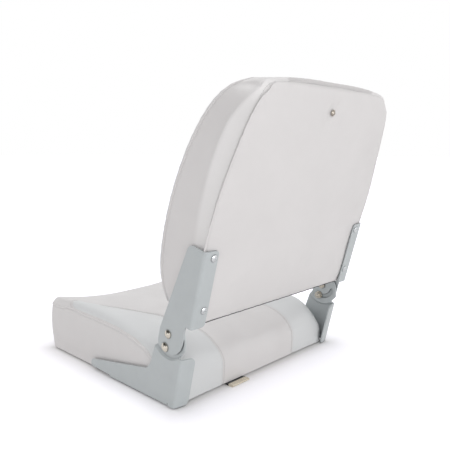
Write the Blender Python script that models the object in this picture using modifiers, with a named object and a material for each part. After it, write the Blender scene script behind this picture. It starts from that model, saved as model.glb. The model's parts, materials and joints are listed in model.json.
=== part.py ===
"""Folding boat seat: a padded seat and a padded back on two pairs of pressed hinge brackets.

Metres, +Z up. The origin is the centre of the square of threaded inserts on the underside of the seat
pan. The occupant faces -Y and +X is the occupant's left. The back swings forward about the pivot bolts,
along X.
"""

import math

import bmesh
import bpy
from mathutils import Matrix, Vector

# Clearances
GAP = 0.0003
RUN = 0.0003
OVERRUN = 0.004
MERGE = 0.00001

# Sheet metal of the four brackets
SHEET = 0.003
BEND_INSIDE = 0.003
BEND_STEPS = 4
FILLET_STEPS = 4
HINGE_SPAN = 0.440
RECLINE = math.radians(14.7)

# Hinge: the pivot bolt and the stop bolt, which runs in an arc slot
PIVOT_SETBACK = 0.0083
PIVOT_Z = 0.1193
PIVOT_BOLT = 0.008
PIVOT_HEAD = 0.0135
PIVOT_HEAD_HEIGHT = 0.0045
NUT_FLATS = 0.013
NUT_SIDES = 6
NUT_HEIGHT = 0.0065
NUT_COLLAR_SHARE = 0.3
NUT_COLLAR = 0.0112
NUT_COLLAR_ROOT_SHARE = 0.5
BOLT_END = 0.0015
STOP_RADIUS = 0.0246
STOP_ANGLE = math.radians(251.5)
FOLD = math.radians(86.0)
STOP_PLAY = math.radians(1.2)
STOP_BOLT = 0.006
STOP_HEAD = 0.015
STOP_HEAD_HEIGHT = 0.005
STOP_BUSH = 0.0088
STOP_WASHER = 0.0155
STOP_WASHER_THICK = 0.001
NYLON_WASHER = 0.024
NYLON_WASHER_THICK = 0.0009

# Joggle that sets the lower bracket's lobe inboard of the upper bracket
JOGGLE = 0.0038
JOGGLE_INNER = 0.039
JOGGLE_WIDTH = 0.004
JOGGLE_FRONT = math.radians(218)
JOGGLE_REAR = math.radians(304)
JOGGLE_STEPS = 12

# Lower bracket, side view
LOWER_REAR_Y = 0.191
LOWER_FLOOR = 0.0048
LOWER_LENGTH = 0.235
LOWER_HEIGHT = 0.089
LOWER_FLANGE_LEAN = math.radians(13.1)
LOWER_FLANGE_BEND = math.radians(80)
LOWER_FLANGE_REACH = 0.023
LOWER_FLANGE_CORNER = 0.010
BASE_FLANGE_REACH = 0.024
BASE_FLANGE_CORNER = 0.006
BASE_FLANGE_FRONT_SHARE = 0.74
BASE_FLANGE_REAR_SHARE = 0.06
RELIEF = 0.0012
# Corners of the arm: share of the length forward of the rear edge, share of the height, corner radius share
LOWER_ARM_SHARES = (
    (1.0, 0.085, 0.055),
    (0.983, 0.235, 0.04),
    (0.275, 0.575, 0.22),
    (0.232, 0.73, 0.2),
)
# Corners of the lobe about the pivot: forward, up and corner radius as shares of the joggle's radius
LOBE_SHARES = (
    (0.63, -0.44, 0.18),
    (0.53, 0.57, 0.5),
    (-0.85, 0.60, 0.72),
    (-0.85, -0.55, 0.2),
)

# Upper bracket, in the plane of its web: rearward and up the back from the pivot
UPPER_PLANE = 0.0457
UPPER_LENGTH = 0.1575
UPPER_FRONT = 0.0205
UPPER_REAR = 0.0330
UPPER_TAIL = 0.0312
UPPER_TAIL_FRONT_CORNER = 0.011
UPPER_TAIL_REAR_CORNER = 0.028
UPPER_TOP_FRONT = 0.0102
UPPER_TOP_CORNER = 0.009
UPPER_WAIST = 0.003
UPPER_WAIST_CORNER = 0.03
UPPER_FLANGE_START = 0.030
UPPER_FLANGE_REACH = 0.0232
UPPER_FLANGE_CORNER = 0.006
BACK_SCREW_LOW = 0.030
BACK_SCREW_PITCH = 0.0862
BACK_SCREW_INSET = 0.0203

# Screws
SCREW_HEAD = 0.0095
SCREW_HEAD_HEIGHT = 0.0028
SCREW_SHANK = 0.0044
BACK_SCREW_LENGTH = 0.022
BASE_SCREW_LENGTH = 0.012
COUNTERSINK = 0.0085
COUNTERSINK_DEPTH = 0.0021
BASE_SCREW_INSET = 0.0185
BASE_SCREW_SHARES = (0.13, 0.40, 0.67)
ROUND_SIDES = 12
FINE_SIDES = 24
DOME_STEPS = 3

# Seat pan and its pockets
VINYL = 0.0012
PAN_FRONT_INSET = 0.0065
PAN_THICK = 0.014
PAN_CORNER = 0.055
PAN_FLOOR = 0.0035
PAN_RIM = 0.026
PAN_SIDE_RIM = 0.031
PAN_RIB = 0.004
POCKET_ROWS = 4
PAD_HALF = 0.086
PAD_GROOVE = 0.003
PAD_GROOVE_DEPTH = 0.0015
INSERT_PITCH = 0.127
INSERT_BARREL = 0.0104
INSERT_THREAD = 0.0064
INSERT_FLANGE = 0.019
INSERT_FLANGE_THICK = 0.0015

# Seat cushion
SEAT_SIDE_GAP = 0.004
SEAT_REAR_GAP = 0.001
SEAT_DEPTH = 0.4025
SEAT_TOP = 0.0985
SEAT_FRONT_UNDERCUT = 0.022
SEAT_REAR_UNDERCUT = 0.0020
SEAT_SEAM_INSET = 0.004
SEAT_HOLLOW = 0.017
SEAT_HOLLOW_SHARES = (1, 0.8, 0.5)
SEAT_HOLLOW_POWER = 3
SEAM_VALLEY = 0.003
SEAT_CORNER = 0.022
SEAT_COLUMNS = 8
SEAT_ROWS = 6
SEAT_MID_SHARE = 0.30
HEM = 0.022
HEM_SCREW_SIDES = 8
FULL_CREASE = 1.0
# From front to rear, as shares: place along the depth, height of the bolster, height of the side seam, and
# half the distance between the two curved seams of the top
SEAT_ROW_SHARES = (
    (0.0, 0.900, 0.915, 0.74),
    (0.088, 1.000, 0.935, 0.77),
    (0.284, 1.045, 0.950, 0.69),
    (0.505, 1.036, 0.955, 0.555),
    (0.714, 0.960, 0.863, 0.474),
    (0.870, 0.900, 0.640, 0.468),
    (0.977, 0.620, 0.340, 0.468),
)

# Backrest, up from the lower edge
BACK_EDGE = 0.0326
BACK_HEIGHT = 0.3795
BACK_SIDE_GAP = 0.0032
BACK_DEPTH = 0.100
BACK_SIDE_BULGE = 0.0018
BACK_HOLLOW = 0.010
BACK_HOLLOW_SHARES = (1, 0.6)
BACK_HOLLOW_END_SHARE = 0.5
BACK_COLUMN_SHARES = (0, 0.48, 0.91, 1)
BACK_SIDE_SHARE = 0.5
BACK_EDGE_CREASE = 0.8
BACK_FRONT_SEAM = 0.006
BACK_COLUMNS = 6
BACK_ROWS = 7
BACK_BOARD = 0.010
BACK_BOARD_INSET = 0.008
BACK_PAD = 0.006
BACK_EDGE_SET = 0.0035
# Rows up the back, as shares: height, half width, depth of the bolster, and how far the rear panel stands
# behind the brackets' plane, as a share of the same depth
BACK_ROW_SHARES = (
    (0.0, 0.985, 0.53, 0.0),
    (0.10, 0.995, 0.90, 0.0),
    (0.28, 1.0, 1.02, 0.0),
    (0.475, 0.995, 0.99, 0.045),
    (0.66, 0.962, 0.93, 0.065),
    (0.82, 0.893, 0.85, 0.08),
    (0.925, 0.818, 0.68, 0.09),
    (1.0, 0.755, 0.0, 0.09),
)
# Added to the half width of the rear panel's edge, row by row
BACK_REAR_WIDTH_SHARES = (0, 0, 0, 0, 0, 0.015, 0.035, 0.02)
# The rounded top edge, front to rear, as shares: height and depth
BACK_TOP_SHARES = ((0.982, 0.46), (1.000, 0.22), (1.008, -0.045))
BACK_TOP_DROP = 0.020
BACK_TOP_DROP_SHARES = (0, 0, 0.2, 1)
BACK_TOP_LEVEL_SHARES = (0.45, 0.6, 1, 1)
BACK_PANEL_CROWN = 0.0065
BACK_PANEL_SHARE = 0.6
BACK_MOUTH_SHARE = 0.6
FIT_PASSES = 8
FOAM_GAP = 0.0015
CORNER_FIT_SHARE = 0.25
STUD_SHARE = 0.8933
STUD_SEAT_SHARE = 0.128
STUD_CAP = 0.0105
STUD_THICK = 0.0035
STUD_SHANK = 0.004
STUD_LENGTH = 0.031

# Hold-down strap under the pan
STRAP_WIDTH = 0.044
STRAP_THICK = 0.0015
STRAP_X = 0.072
STRAP_PAD_GAP = 0.005
STRAP_OUT = 0.015
STRAP_HEM = 0.015
STRAP_HEM_THICK = 0.0036
STRAP_HEM_STEP_SHARE = 0.25
STRAP_HANG_SHARE = 0.8
STRAP_DIP = 0.012
ANCHOR_INSET = 0.012
ANCHOR_LAND = 0.030
ANCHOR_WASHER = 0.016
ANCHOR_WASHER_THICK = 0.0009
ANCHOR_HEAD = 0.010
ANCHOR_HEAD_HEIGHT = 0.0011
ANCHOR_LENGTH = 0.012
SNAP_INSET = 0.052
SNAP_CAP = 0.0125
SNAP_CAP_HEIGHT = 0.0010
SNAP_NECK = 0.0045
SNAP_SOCKET = 0.011
SNAP_SOCKET_HEIGHT = 0.0035

# Sizes that follow from the ones above
BEND_OUTSIDE = BEND_INSIDE + SHEET
LOWER_FACE = HINGE_SPAN / 2
LOBE_FACE = LOWER_FACE - JOGGLE
UPPER_FACE = LOBE_FACE + NYLON_WASHER_THICK + 2 * GAP + SHEET
PIVOT_Y = LOWER_REAR_Y - PIVOT_SETBACK
BASE_SCREW_X = LOWER_FACE - BASE_SCREW_INSET
BACK_SCREW_X = UPPER_FACE - BACK_SCREW_INSET
SEAT_HALF_WIDTH = LOWER_FACE - SHEET - SEAT_SIDE_GAP
SEAT_REAR = LOWER_REAR_Y - SEAT_REAR_GAP
SEAT_FRONT = SEAT_REAR - SEAT_DEPTH
PAN_HALF_WIDTH = SEAT_HALF_WIDTH - 2 * VINYL
PAN_FRONT = SEAT_FRONT + SEAT_FRONT_UNDERCUT + PAN_FRONT_INSET
PAN_REAR = SEAT_REAR - SEAT_REAR_UNDERCUT - VINYL
BACK_HALF_WIDTH = UPPER_FACE - SHEET - BACK_SIDE_GAP
STUD_HEIGHT = BACK_HEIGHT * STUD_SHARE
STRAP_FRONT = PAD_HALF + STRAP_PAD_GAP
STRAP_REAR = SEAT_REAR + STRAP_OUT
ANCHOR_Y = STRAP_FRONT + ANCHOR_INSET
SNAP_Y = SEAT_REAR - SNAP_INSET
CORNER_SHARE = 1 - math.cos(math.pi / 4)
SHARP_ANGLE = math.radians(35)
COVER_SHARP_ANGLE = math.radians(50)
HINGE_FRAME = Matrix.Translation((0, PIVOT_Y, PIVOT_Z)) @ Matrix.Rotation(-RECLINE, 4, "X")
SIDES = (("left", 1), ("right", -1))


def clear_scene():
    """Remove whatever the file opened with."""
    for obj in list(bpy.data.objects):
        bpy.data.objects.remove(obj, do_unlink=True)


def new_collection(name):
    """A collection of its own in the scene."""
    collection = bpy.data.collections.new(name)
    bpy.context.scene.collection.children.link(collection)
    return collection


def finish(name, colour, roughness, metallic=0.0):
    """A plain surface with the part's colour."""
    material = bpy.data.materials.new(name)
    material.use_nodes = True
    shader = material.node_tree.nodes["Principled BSDF"]
    shader.inputs["Base Color"].default_value = (*colour, 1)
    shader.inputs["Roughness"].default_value = roughness
    shader.inputs["Metallic"].default_value = metallic
    material.diffuse_color = (*colour, 1)
    return material


clear_scene()
PARTS = new_collection("folding_boat_seat")
CUTTERS = new_collection("cutters")
VINYL_GREY = finish("marine_vinyl", (0.70, 0.69, 0.68), 0.45)
FOAM = finish("foam", (0.85, 0.80, 0.62), 0.95)
PAN_PLASTIC = finish("moulded_pan", (0.06, 0.06, 0.065), 0.5)
GREY_PAINT = finish("grey_painted_bracket", (0.38, 0.42, 0.43), 0.4)
STAINLESS = finish("stainless", (0.72, 0.72, 0.72), 0.22, 1.0)
NYLON = finish("white_nylon", (0.88, 0.88, 0.86), 0.4)
WEBBING = finish("webbing", (0.80, 0.76, 0.66), 0.85)


def add_part(name, mesh, material, parent=None, frame=None):
    """Put a mesh in the parts collection as one named piece."""
    obj = bpy.data.objects.new(name, mesh)
    PARTS.objects.link(obj)
    if not mesh.materials:
        mesh.materials.append(material)
    obj.parent = parent
    if frame is not None:
        obj.matrix_local = frame
    return obj


def add_cutter(name, mesh, parent=None):
    """Put a mesh in the cutters' collection, shown as wire and never rendered."""
    obj = bpy.data.objects.new(name, mesh)
    CUTTERS.objects.link(obj)
    obj.parent = parent
    obj.hide_render = True
    obj.display_type = "WIRE"
    return obj


def boolean(obj, other, operation):
    """Combine an object with another one."""
    modifier = obj.modifiers.new(f"{operation.lower()}_{other.name}", "BOOLEAN")
    modifier.operation = operation
    modifier.object = other
    modifier.solver = "EXACT"


def cut(obj, *cutters):
    """Take each cutter out of the object."""
    for cutter in cutters:
        boolean(obj, cutter, "DIFFERENCE")


def face_outward(bm):
    """Turn every face outward, on a closed form or on a pressed sheet's outer face."""
    bmesh.ops.recalc_face_normals(bm, faces=bm.faces)
    if bm.calc_volume(signed=True) < 0:
        bmesh.ops.reverse_faces(bm, faces=bm.faces)


def mesh_from(bm, name):
    """The edited mesh as a mesh of its own."""
    mesh = bpy.data.meshes.new(name)
    bm.to_mesh(mesh)
    bm.free()
    return mesh


def realised(obj):
    """The object's evaluated mesh as a new mesh, with loose caps welded."""
    bpy.context.view_layer.update()
    graph = bpy.context.evaluated_depsgraph_get()
    mesh = bpy.data.meshes.new_from_object(obj.evaluated_get(graph))
    bm = bmesh.new()
    bm.from_mesh(mesh)
    bmesh.ops.remove_doubles(bm, verts=bm.verts, dist=MERGE)
    bmesh.ops.recalc_face_normals(bm, faces=bm.faces)
    bm.to_mesh(mesh)
    bm.free()
    return mesh


def mirrored(mesh, name):
    """The mesh reflected in the plane X = 0."""
    twin = mesh.copy()
    twin.name = name
    twin.transform(Matrix.Scale(-1, 4, (1, 0, 0)))
    twin.flip_normals()
    return twin


def rounded(corners):
    """A closed outline from (x, y, radius) corners, each turned into an arc."""
    points = []
    count = len(corners)
    for index, (x, y, radius) in enumerate(corners):
        here = Vector((x, y))
        before = (Vector(corners[index - 1][:2]) - here).normalized()
        after = (Vector(corners[(index + 1) % count][:2]) - here).normalized()
        if radius == 0:
            points.append(here)
            continue
        half = before.angle(after) / 2
        centre = here + (before + after).normalized() * radius / math.sin(half)
        start = here + before * radius / math.tan(half) - centre
        end = here + after * radius / math.tan(half) - centre
        sweep = start.angle_signed(end)
        for step in range(FILLET_STEPS + 1):
            turn = Matrix.Rotation(-sweep * step / FILLET_STEPS, 2)
            points.append(centre + turn @ start)
    return points


def arc(radius, start, end, steps, centre=(0, 0)):
    """Points along an arc, both ends included."""
    points = []
    for step in range(steps + 1):
        angle = start + (end - start) * step / steps
        across = centre[0] + radius * math.cos(angle)
        up = centre[1] + radius * math.sin(angle)
        points.append(Vector((across, up)))
    return points


def outline_mesh(name, loops, depth, frame):
    """A flat outline, holes included, given a depth centred on the frame's XY plane."""
    curve = bpy.data.curves.new(name, "CURVE")
    curve.dimensions = "2D"
    curve.fill_mode = "BOTH"
    curve.extrude = depth / 2
    for loop in loops:
        spline = curve.splines.new("POLY")
        spline.points.add(len(loop) - 1)
        for point, place in zip(spline.points, loop):
            point.co = (place[0], place[1], 0, 1)
        spline.use_cyclic_u = True
    guide = bpy.data.objects.new(name, curve)
    CUTTERS.objects.link(guide)
    mesh = realised(guide)
    bpy.data.objects.remove(guide)
    mesh.name = name
    mesh.transform(frame)
    if frame.determinant() < 0:
        mesh.flip_normals()
    return mesh


def side_frame(across):
    """Takes an outline's x to Y and its y to Z, at the given X."""
    return Matrix(((0, 0, 1, across), (1, 0, 0, 0), (0, 1, 0, 0), (0, 0, 0, 1)))


def turned(name, profile, sides, axis_frame):
    """A Screw of a profile of (radius, height) points from top to bottom, along the frame's Z axis."""
    mesh = bpy.data.meshes.new(name)
    points = [(radius, 0, height) for radius, height in profile]
    mesh.from_pydata(points, [(i, i + 1) for i in range(len(points) - 1)], [])
    guide = bpy.data.objects.new(name, mesh)
    CUTTERS.objects.link(guide)
    screw = guide.modifiers.new("turn", "SCREW")
    screw.steps = sides
    screw.render_steps = sides
    screw.use_merge_vertices = True
    screw.merge_threshold = MERGE
    solid = realised(guide)
    bpy.data.objects.remove(guide)
    solid.name = name
    solid.transform(axis_frame)
    solid.shade_smooth()
    solid.set_sharp_from_angle(angle=SHARP_ANGLE)
    return solid


def along_x(x, y, z, outward):
    """A frame at a point whose Z axis runs along X, outward for side 1 or -1."""
    return Matrix.Translation((x, y, z)) @ Matrix.Rotation(outward * math.pi / 2, 4, "Y")


def dome_profile(head, height, shank, length):
    """Half outline of a domed fastener: its seat is at height 0 and its shank runs down."""
    bulge = (head * head / 4 + height * height) / (2 * height)
    profile = []
    for step in range(DOME_STEPS):
        radius = head / 2 * step / DOME_STEPS
        profile.append((radius, math.sqrt(bulge * bulge - radius * radius) - bulge + height))
    edge = height / (DOME_STEPS + 1)
    chamfer = shank / 8
    profile += [(head / 2, edge), (head / 2, 0), (shank / 2, 0), (shank / 2, chamfer - length)]
    profile += [(shank / 2 - chamfer, -length), (0, -length)]
    return profile


def ring_profile(outside, inside, thick):
    """Half outline of a flat ring, closed on itself."""
    inner = inside / 2
    outer = outside / 2
    return [(inner, thick), (outer, thick), (outer, 0), (inner, 0), (inner, thick)]


def joined(meshes, name):
    """Several separate bodies in one mesh, for use as one cutter."""
    bm = bmesh.new()
    for mesh in meshes:
        bm.from_mesh(mesh)
    return mesh_from(bm, name)


def rod(name, diameter, start, end, sides=FINE_SIDES):
    """A plain round bar between two points."""
    start = Vector(start)
    line = Vector(end) - start
    bm = bmesh.new()
    bmesh.ops.create_cone(
        bm, cap_ends=True, segments=sides, radius1=diameter / 2, radius2=diameter / 2, depth=line.length
    )
    mesh = mesh_from(bm, name)
    turn = line.to_track_quat("Z", "Y").to_matrix().to_4x4()
    mesh.transform(Matrix.Translation(start + line / 2) @ turn)
    mesh.shade_smooth()
    mesh.set_sharp_from_angle(angle=SHARP_ANGLE)
    return mesh


def block(name, low, high):
    """A box between two corners."""
    low = Vector(low)
    high = Vector(high)
    bm = bmesh.new()
    bmesh.ops.create_cube(bm, size=1)
    mesh = mesh_from(bm, name)
    mesh.transform(Matrix.LocRotScale((low + high) / 2, None, high - low))
    return mesh


def fold_edge(bm, edge, away, angle, reach, corner):
    """Bend a flange inward from a straight web edge, then round its free corners.

    `away` points out of the web, in its plane, and the sheet's outer face is the surface that is drawn.
    """
    ends = [vert.co.copy() for vert in edge.verts]
    line = (ends[1] - ends[0]).normalized()
    inward = Vector((-1, 0, 0))
    centre = ends[0] + inward * BEND_OUTSIDE
    if line.cross(away).x > 0:
        line = -line
    spun = bmesh.ops.spin(
        bm, geom=[edge], cent=centre, axis=line, angle=angle, steps=BEND_STEPS, use_duplicate=False
    )
    last = [item for item in spun["geom_last"] if isinstance(item, bmesh.types.BMEdge)]
    grown = bmesh.ops.extrude_edge_only(bm, edges=last)["geom"]
    corners = [item for item in grown if isinstance(item, bmesh.types.BMVert)]
    direction = away * math.cos(angle) + inward * math.sin(angle)
    bmesh.ops.translate(bm, verts=corners, vec=direction * reach)
    bmesh.ops.bevel(
        bm, geom=corners, offset=corner, segments=FILLET_STEPS, profile=0.5, affect="VERTICES"
    )


def edge_between(bm, first, second):
    """The mesh edge whose ends lie at two given points."""
    wanted = (Vector(first), Vector(second))
    for edge in bm.edges:
        ends = [vert.co for vert in edge.verts]
        for pair in (wanted, wanted[::-1]):
            if all((end - place).length < MERGE for end, place in zip(ends, pair)):
                return edge
    raise ValueError("no edge there")


def lower_point(length_share, height_share):
    """A point of the lower bracket's side view from its shares of length and height."""
    return (LOWER_REAR_Y - length_share * LOWER_LENGTH, height_share * LOWER_HEIGHT - LOWER_FLOOR)


def lower_rear(height):
    """The web's rear edge at a height above the floor, where the bend to the rear flange starts."""
    setback = BEND_OUTSIDE * math.tan(LOWER_FLANGE_BEND / 2)
    return (LOWER_REAR_Y - setback + height * math.tan(LOWER_FLANGE_LEAN), height - LOWER_FLOOR)


def lower_bracket_surface():
    """Outer face of the left lower bracket: web, joggle, lobe and two flanges as one open surface."""
    outer = JOGGLE_INNER + JOGGLE_WIDTH
    pivot = (PIVOT_Y, PIVOT_Z)
    outer_arc = arc(outer, JOGGLE_FRONT, JOGGLE_REAR, JOGGLE_STEPS, pivot)
    inner_arc = arc(JOGGLE_INNER, JOGGLE_FRONT, JOGGLE_REAR, JOGGLE_STEPS, pivot)
    arm = []
    for length_share, height_share, radius_share in LOWER_ARM_SHARES:
        y, z = lower_point(length_share, height_share)
        arm.append((y, z, radius_share * LOWER_HEIGHT))
    base = -LOWER_FLOOR + BEND_OUTSIDE
    spread = BEND_OUTSIDE * math.sin(LOWER_FLANGE_BEND) + LOWER_FLANGE_REACH * math.cos(LOWER_FLANGE_BEND)
    flange_foot = lower_rear(spread * math.sin(LOWER_FLANGE_LEAN))
    base_rear = (lower_point(BASE_FLANGE_REAR_SHARE, 0)[0], base)
    base_front = (lower_point(BASE_FLANGE_FRONT_SHARE, 0)[0], base)
    top = outer_arc[-1]
    corners = [(top.x, top.y, 0), (*flange_foot, 0)]
    corners += [(base_rear[0] + RELIEF, flange_foot[1], 0), (base_rear[0] + RELIEF, base + RELIEF, 0)]
    corners += [(base_rear[0], base + RELIEF, 0), (*base_rear, 0), (*base_front, 0)]
    corners += arm
    corners += [(outer_arc[0].x, outer_arc[0].y, 0)]
    web = rounded(corners)
    lobe = [(inner_arc[0].x, inner_arc[0].y, 0)]
    for forward, up, radius in LOBE_SHARES:
        y = PIVOT_Y - forward * JOGGLE_INNER
        lobe.append((y, PIVOT_Z + up * JOGGLE_INNER, radius * JOGGLE_INNER))
    lobe.append((inner_arc[-1].x, inner_arc[-1].y, 0))
    lobe = rounded(lobe)

    bm = bmesh.new()
    outer_verts = [bm.verts.new((LOWER_FACE, *point)) for point in outer_arc]
    inner_verts = [bm.verts.new((LOBE_FACE, *point)) for point in inner_arc]
    web_verts = [outer_verts[-1]]
    web_verts += [bm.verts.new((LOWER_FACE, *point)) for point in web[1:-1]]
    web_verts += outer_verts[:-1]
    lobe_verts = [inner_verts[0]]
    lobe_verts += [bm.verts.new((LOBE_FACE, *point)) for point in lobe[1:-1]]
    lobe_verts += inner_verts[:0:-1]
    bm.faces.new(web_verts)
    bm.faces.new(lobe_verts)
    for index in range(JOGGLE_STEPS):
        quad = (outer_verts[index], outer_verts[index + 1], inner_verts[index + 1], inner_verts[index])
        bm.faces.new(quad)
    rear_edge = edge_between(bm, (LOWER_FACE, *top), (LOWER_FACE, *flange_foot))
    lean = Vector((0, top.x - flange_foot[0], top.y - flange_foot[1])).normalized()
    rearward = Vector((0, lean.z, -lean.y))
    fold_edge(bm, rear_edge, rearward, LOWER_FLANGE_BEND, LOWER_FLANGE_REACH, LOWER_FLANGE_CORNER)
    base_edge = edge_between(bm, (LOWER_FACE, *base_rear), (LOWER_FACE, *base_front))
    fold_edge(bm, base_edge, Vector((0, 0, -1)), math.pi / 2, BASE_FLANGE_REACH, BASE_FLANGE_CORNER)
    bmesh.ops.recalc_face_normals(bm, faces=bm.faces)
    if max(bm.faces, key=lambda face: face.calc_area()).normal.x < 0:
        bmesh.ops.reverse_faces(bm, faces=bm.faces)
    return mesh_from(bm, "lower_bracket_surface")


def upper_bracket_surface():
    """Outer face of the left upper bracket, in the hinge frame: web and rear flange."""
    fold = UPPER_PLANE - BEND_OUTSIDE
    corners = [
        (-UPPER_FRONT, -UPPER_TAIL, UPPER_TAIL_FRONT_CORNER),
        (UPPER_REAR, -UPPER_TAIL, UPPER_TAIL_REAR_CORNER),
        (UPPER_REAR, UPPER_FLANGE_START, SHEET),
        (fold, UPPER_FLANGE_START, 0),
        (fold, UPPER_LENGTH, 0),
        (UPPER_TOP_FRONT, UPPER_LENGTH, UPPER_TOP_CORNER),
        (-UPPER_FRONT, UPPER_WAIST, UPPER_WAIST_CORNER),
    ]
    bm = bmesh.new()
    bm.faces.new([bm.verts.new((UPPER_FACE, *point)) for point in rounded(corners)])
    edge = edge_between(
        bm, (UPPER_FACE, fold, UPPER_FLANGE_START), (UPPER_FACE, fold, UPPER_LENGTH)
    )
    fold_edge(bm, edge, Vector((0, 1, 0)), math.pi / 2, UPPER_FLANGE_REACH, UPPER_FLANGE_CORNER)
    bmesh.ops.recalc_face_normals(bm, faces=bm.faces)
    if max(bm.faces, key=lambda face: face.calc_area()).normal.x < 0:
        bmesh.ops.reverse_faces(bm, faces=bm.faces)
    return mesh_from(bm, "upper_bracket_surface")


def pressed_sheet(name, surface, cutters):
    """The surface given the sheet's thickness inward, with its holes cut, as one mesh."""
    guide = bpy.data.objects.new(name, surface)
    CUTTERS.objects.link(guide)
    solid = guide.modifiers.new("sheet", "SOLIDIFY")
    solid.thickness = SHEET
    solid.offset = -1
    solid.use_even_offset = True
    for cutter in cutters:
        boolean(guide, cutter, "DIFFERENCE")
    mesh = realised(guide)
    bpy.data.objects.remove(guide)
    mesh.name = name
    mesh.shade_smooth()
    mesh.set_sharp_from_angle(angle=SHARP_ANGLE)
    return mesh


def arc_slot(name, width, start, end, low, high):
    """A slot along an arc about the pivot, cut through from X = low to X = high."""
    half = width / 2
    outline = arc(STOP_RADIUS + half, start, end, JOGGLE_STEPS)
    last = (STOP_RADIUS * math.cos(end), STOP_RADIUS * math.sin(end))
    outline += arc(half, end, end + math.pi, FILLET_STEPS, last)[1:]
    outline += arc(STOP_RADIUS - half, end, start, JOGGLE_STEPS)[1:]
    first = (STOP_RADIUS * math.cos(start), STOP_RADIUS * math.sin(start))
    outline += arc(half, start + math.pi, start + 2 * math.pi, FILLET_STEPS, first)[1:-1]
    shifted = [(point.x + PIVOT_Y, point.y + PIVOT_Z) for point in outline]
    return outline_mesh(name, [shifted], high - low, side_frame((low + high) / 2))


def base_screw_ys():
    """Where the screws stand along each base flange."""
    return [lower_point(share, 0)[0] for share in BASE_SCREW_SHARES]


def countersunk_radii(extra):
    """Head and shank radius of a base screw, each grown by a clearance."""
    head = COUNTERSINK / 2 + extra
    shank = SCREW_SHANK / 2 + extra
    return head, shank


def base_screw_mesh(x, y):
    """A countersunk screw whose head lies flush in the underside of the base flange, pointing up."""
    top = -LOWER_FLOOR + GAP
    head, shank = countersunk_radii(0)
    profile = [
        (0, BASE_SCREW_LENGTH),
        (shank / 2, BASE_SCREW_LENGTH),
        (shank, BASE_SCREW_LENGTH - shank),
        (shank, COUNTERSINK_DEPTH),
        (head, GAP),
        (head, 0),
        (0, 0),
    ]
    return turned("base_screw", profile, ROUND_SIDES, Matrix.Translation((x, y, top)))


def base_screw_cutter(x, y):
    """Clearance for one base screw through flange, hem and pan."""
    head, shank = countersunk_radii(RUN)
    bottom = -LOWER_FLOOR + GAP
    profile = [
        (0, BASE_SCREW_LENGTH + GAP),
        (shank, BASE_SCREW_LENGTH + GAP),
        (shank, COUNTERSINK_DEPTH + RUN),
        (head, GAP),
        (head, -OVERRUN),
        (0, -OVERRUN),
    ]
    return turned("base_screw_clearance", profile, ROUND_SIDES, Matrix.Translation((x, y, bottom)))


def back_screw_places():
    """Rearward-facing screw positions on the upper flanges, in the hinge frame."""
    low = UPPER_FLANGE_START + BACK_SCREW_LOW
    return [(side * BACK_SCREW_X, up) for _, side in SIDES for up in (low, low + BACK_SCREW_PITCH)]


def rearward(x, y, z):
    """A frame whose Z axis points to the rear, in the hinge frame."""
    return Matrix.Translation((x, y, z)) @ Matrix.Rotation(-math.pi / 2, 4, "X")


# Cushion cages: a box grid in shares, x and y from -1 to 1, with level 0 on top and walls below it


def box_grid(columns, rows, levels):
    """An open box of quads; each vertex's z is minus its level."""
    bm = bmesh.new()
    bm.edges.layers.float.new("crease_edge")
    bmesh.ops.create_grid(bm, x_segments=columns, y_segments=rows, size=1)
    for level in range(1, levels + 1):
        rim = [edge for edge in bm.edges if edge.is_boundary]
        grown = bmesh.ops.extrude_edge_only(bm, edges=rim)["geom"]
        for item in grown:
            if isinstance(item, bmesh.types.BMVert):
                item.co.z = -level
    return bm


def crease(bm, edges, amount):
    """Hold these edges of the cage sharp, by a share from 0 to 1."""
    layer = bm.edges.layers.float["crease_edge"]
    for edge in edges:
        edge[layer] = amount


def edges_at(bm, level):
    """Edges that run round the cage at one level."""
    return [edge for edge in bm.edges if all(round(vert.co.z) == -level for vert in edge.verts)]


def seat_place(across, along, level):
    """Where the seat's surface passes for a vertex of its cage."""
    row = round((along + 1) / 2 * SEAT_ROWS)
    column = round(abs(across) * SEAT_COLUMNS / 2)
    depth_share, crest_share, edge_share, seam_share = SEAT_ROW_SHARES[row]
    side = 1 if across > 0 else -1
    pull = SEAT_CORNER * CORNER_SHARE if abs(along) == 1 and column == SEAT_COLUMNS / 2 else 0
    seam = SEAT_HALF_WIDTH * seam_share
    reach = (0, seam / 2, seam, (SEAT_HALF_WIDTH - pull + seam) / 2, SEAT_HALF_WIDTH - pull)[column]
    y = SEAT_FRONT + depth_share * (SEAT_REAR - SEAT_FRONT)
    if level == 0:
        fade = 1 - depth_share ** SEAT_HOLLOW_POWER
        drop = [SEAT_HOLLOW * fade * share for share in SEAT_HOLLOW_SHARES] + [0, 0]
        drop[2] += SEAM_VALLEY if row > 1 else 0
        edge = column == SEAT_COLUMNS / 2
        z = SEAT_TOP * (edge_share if edge else crest_share)
        return (side * (reach - SEAT_SEAM_INSET * edge), y - pull * along, z - drop[column])
    if level == 1:
        y = {-1: SEAT_FRONT + pull, 1: SEAT_REAR - pull}.get(along, y)
        return (side * reach, y, SEAT_TOP * SEAT_MID_SHARE)
    front = SEAT_FRONT + SEAT_FRONT_UNDERCUT
    rear = SEAT_REAR - SEAT_REAR_UNDERCUT
    y = {-1: front + pull, 1: rear - pull}.get(along, y)
    if level == 3:
        reach *= 1 - HEM / SEAT_HALF_WIDTH
        y -= (y - (front + rear) / 2) * HEM / ((rear - front) / 2)
    return (side * reach, y, -GAP - VINYL)


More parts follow.
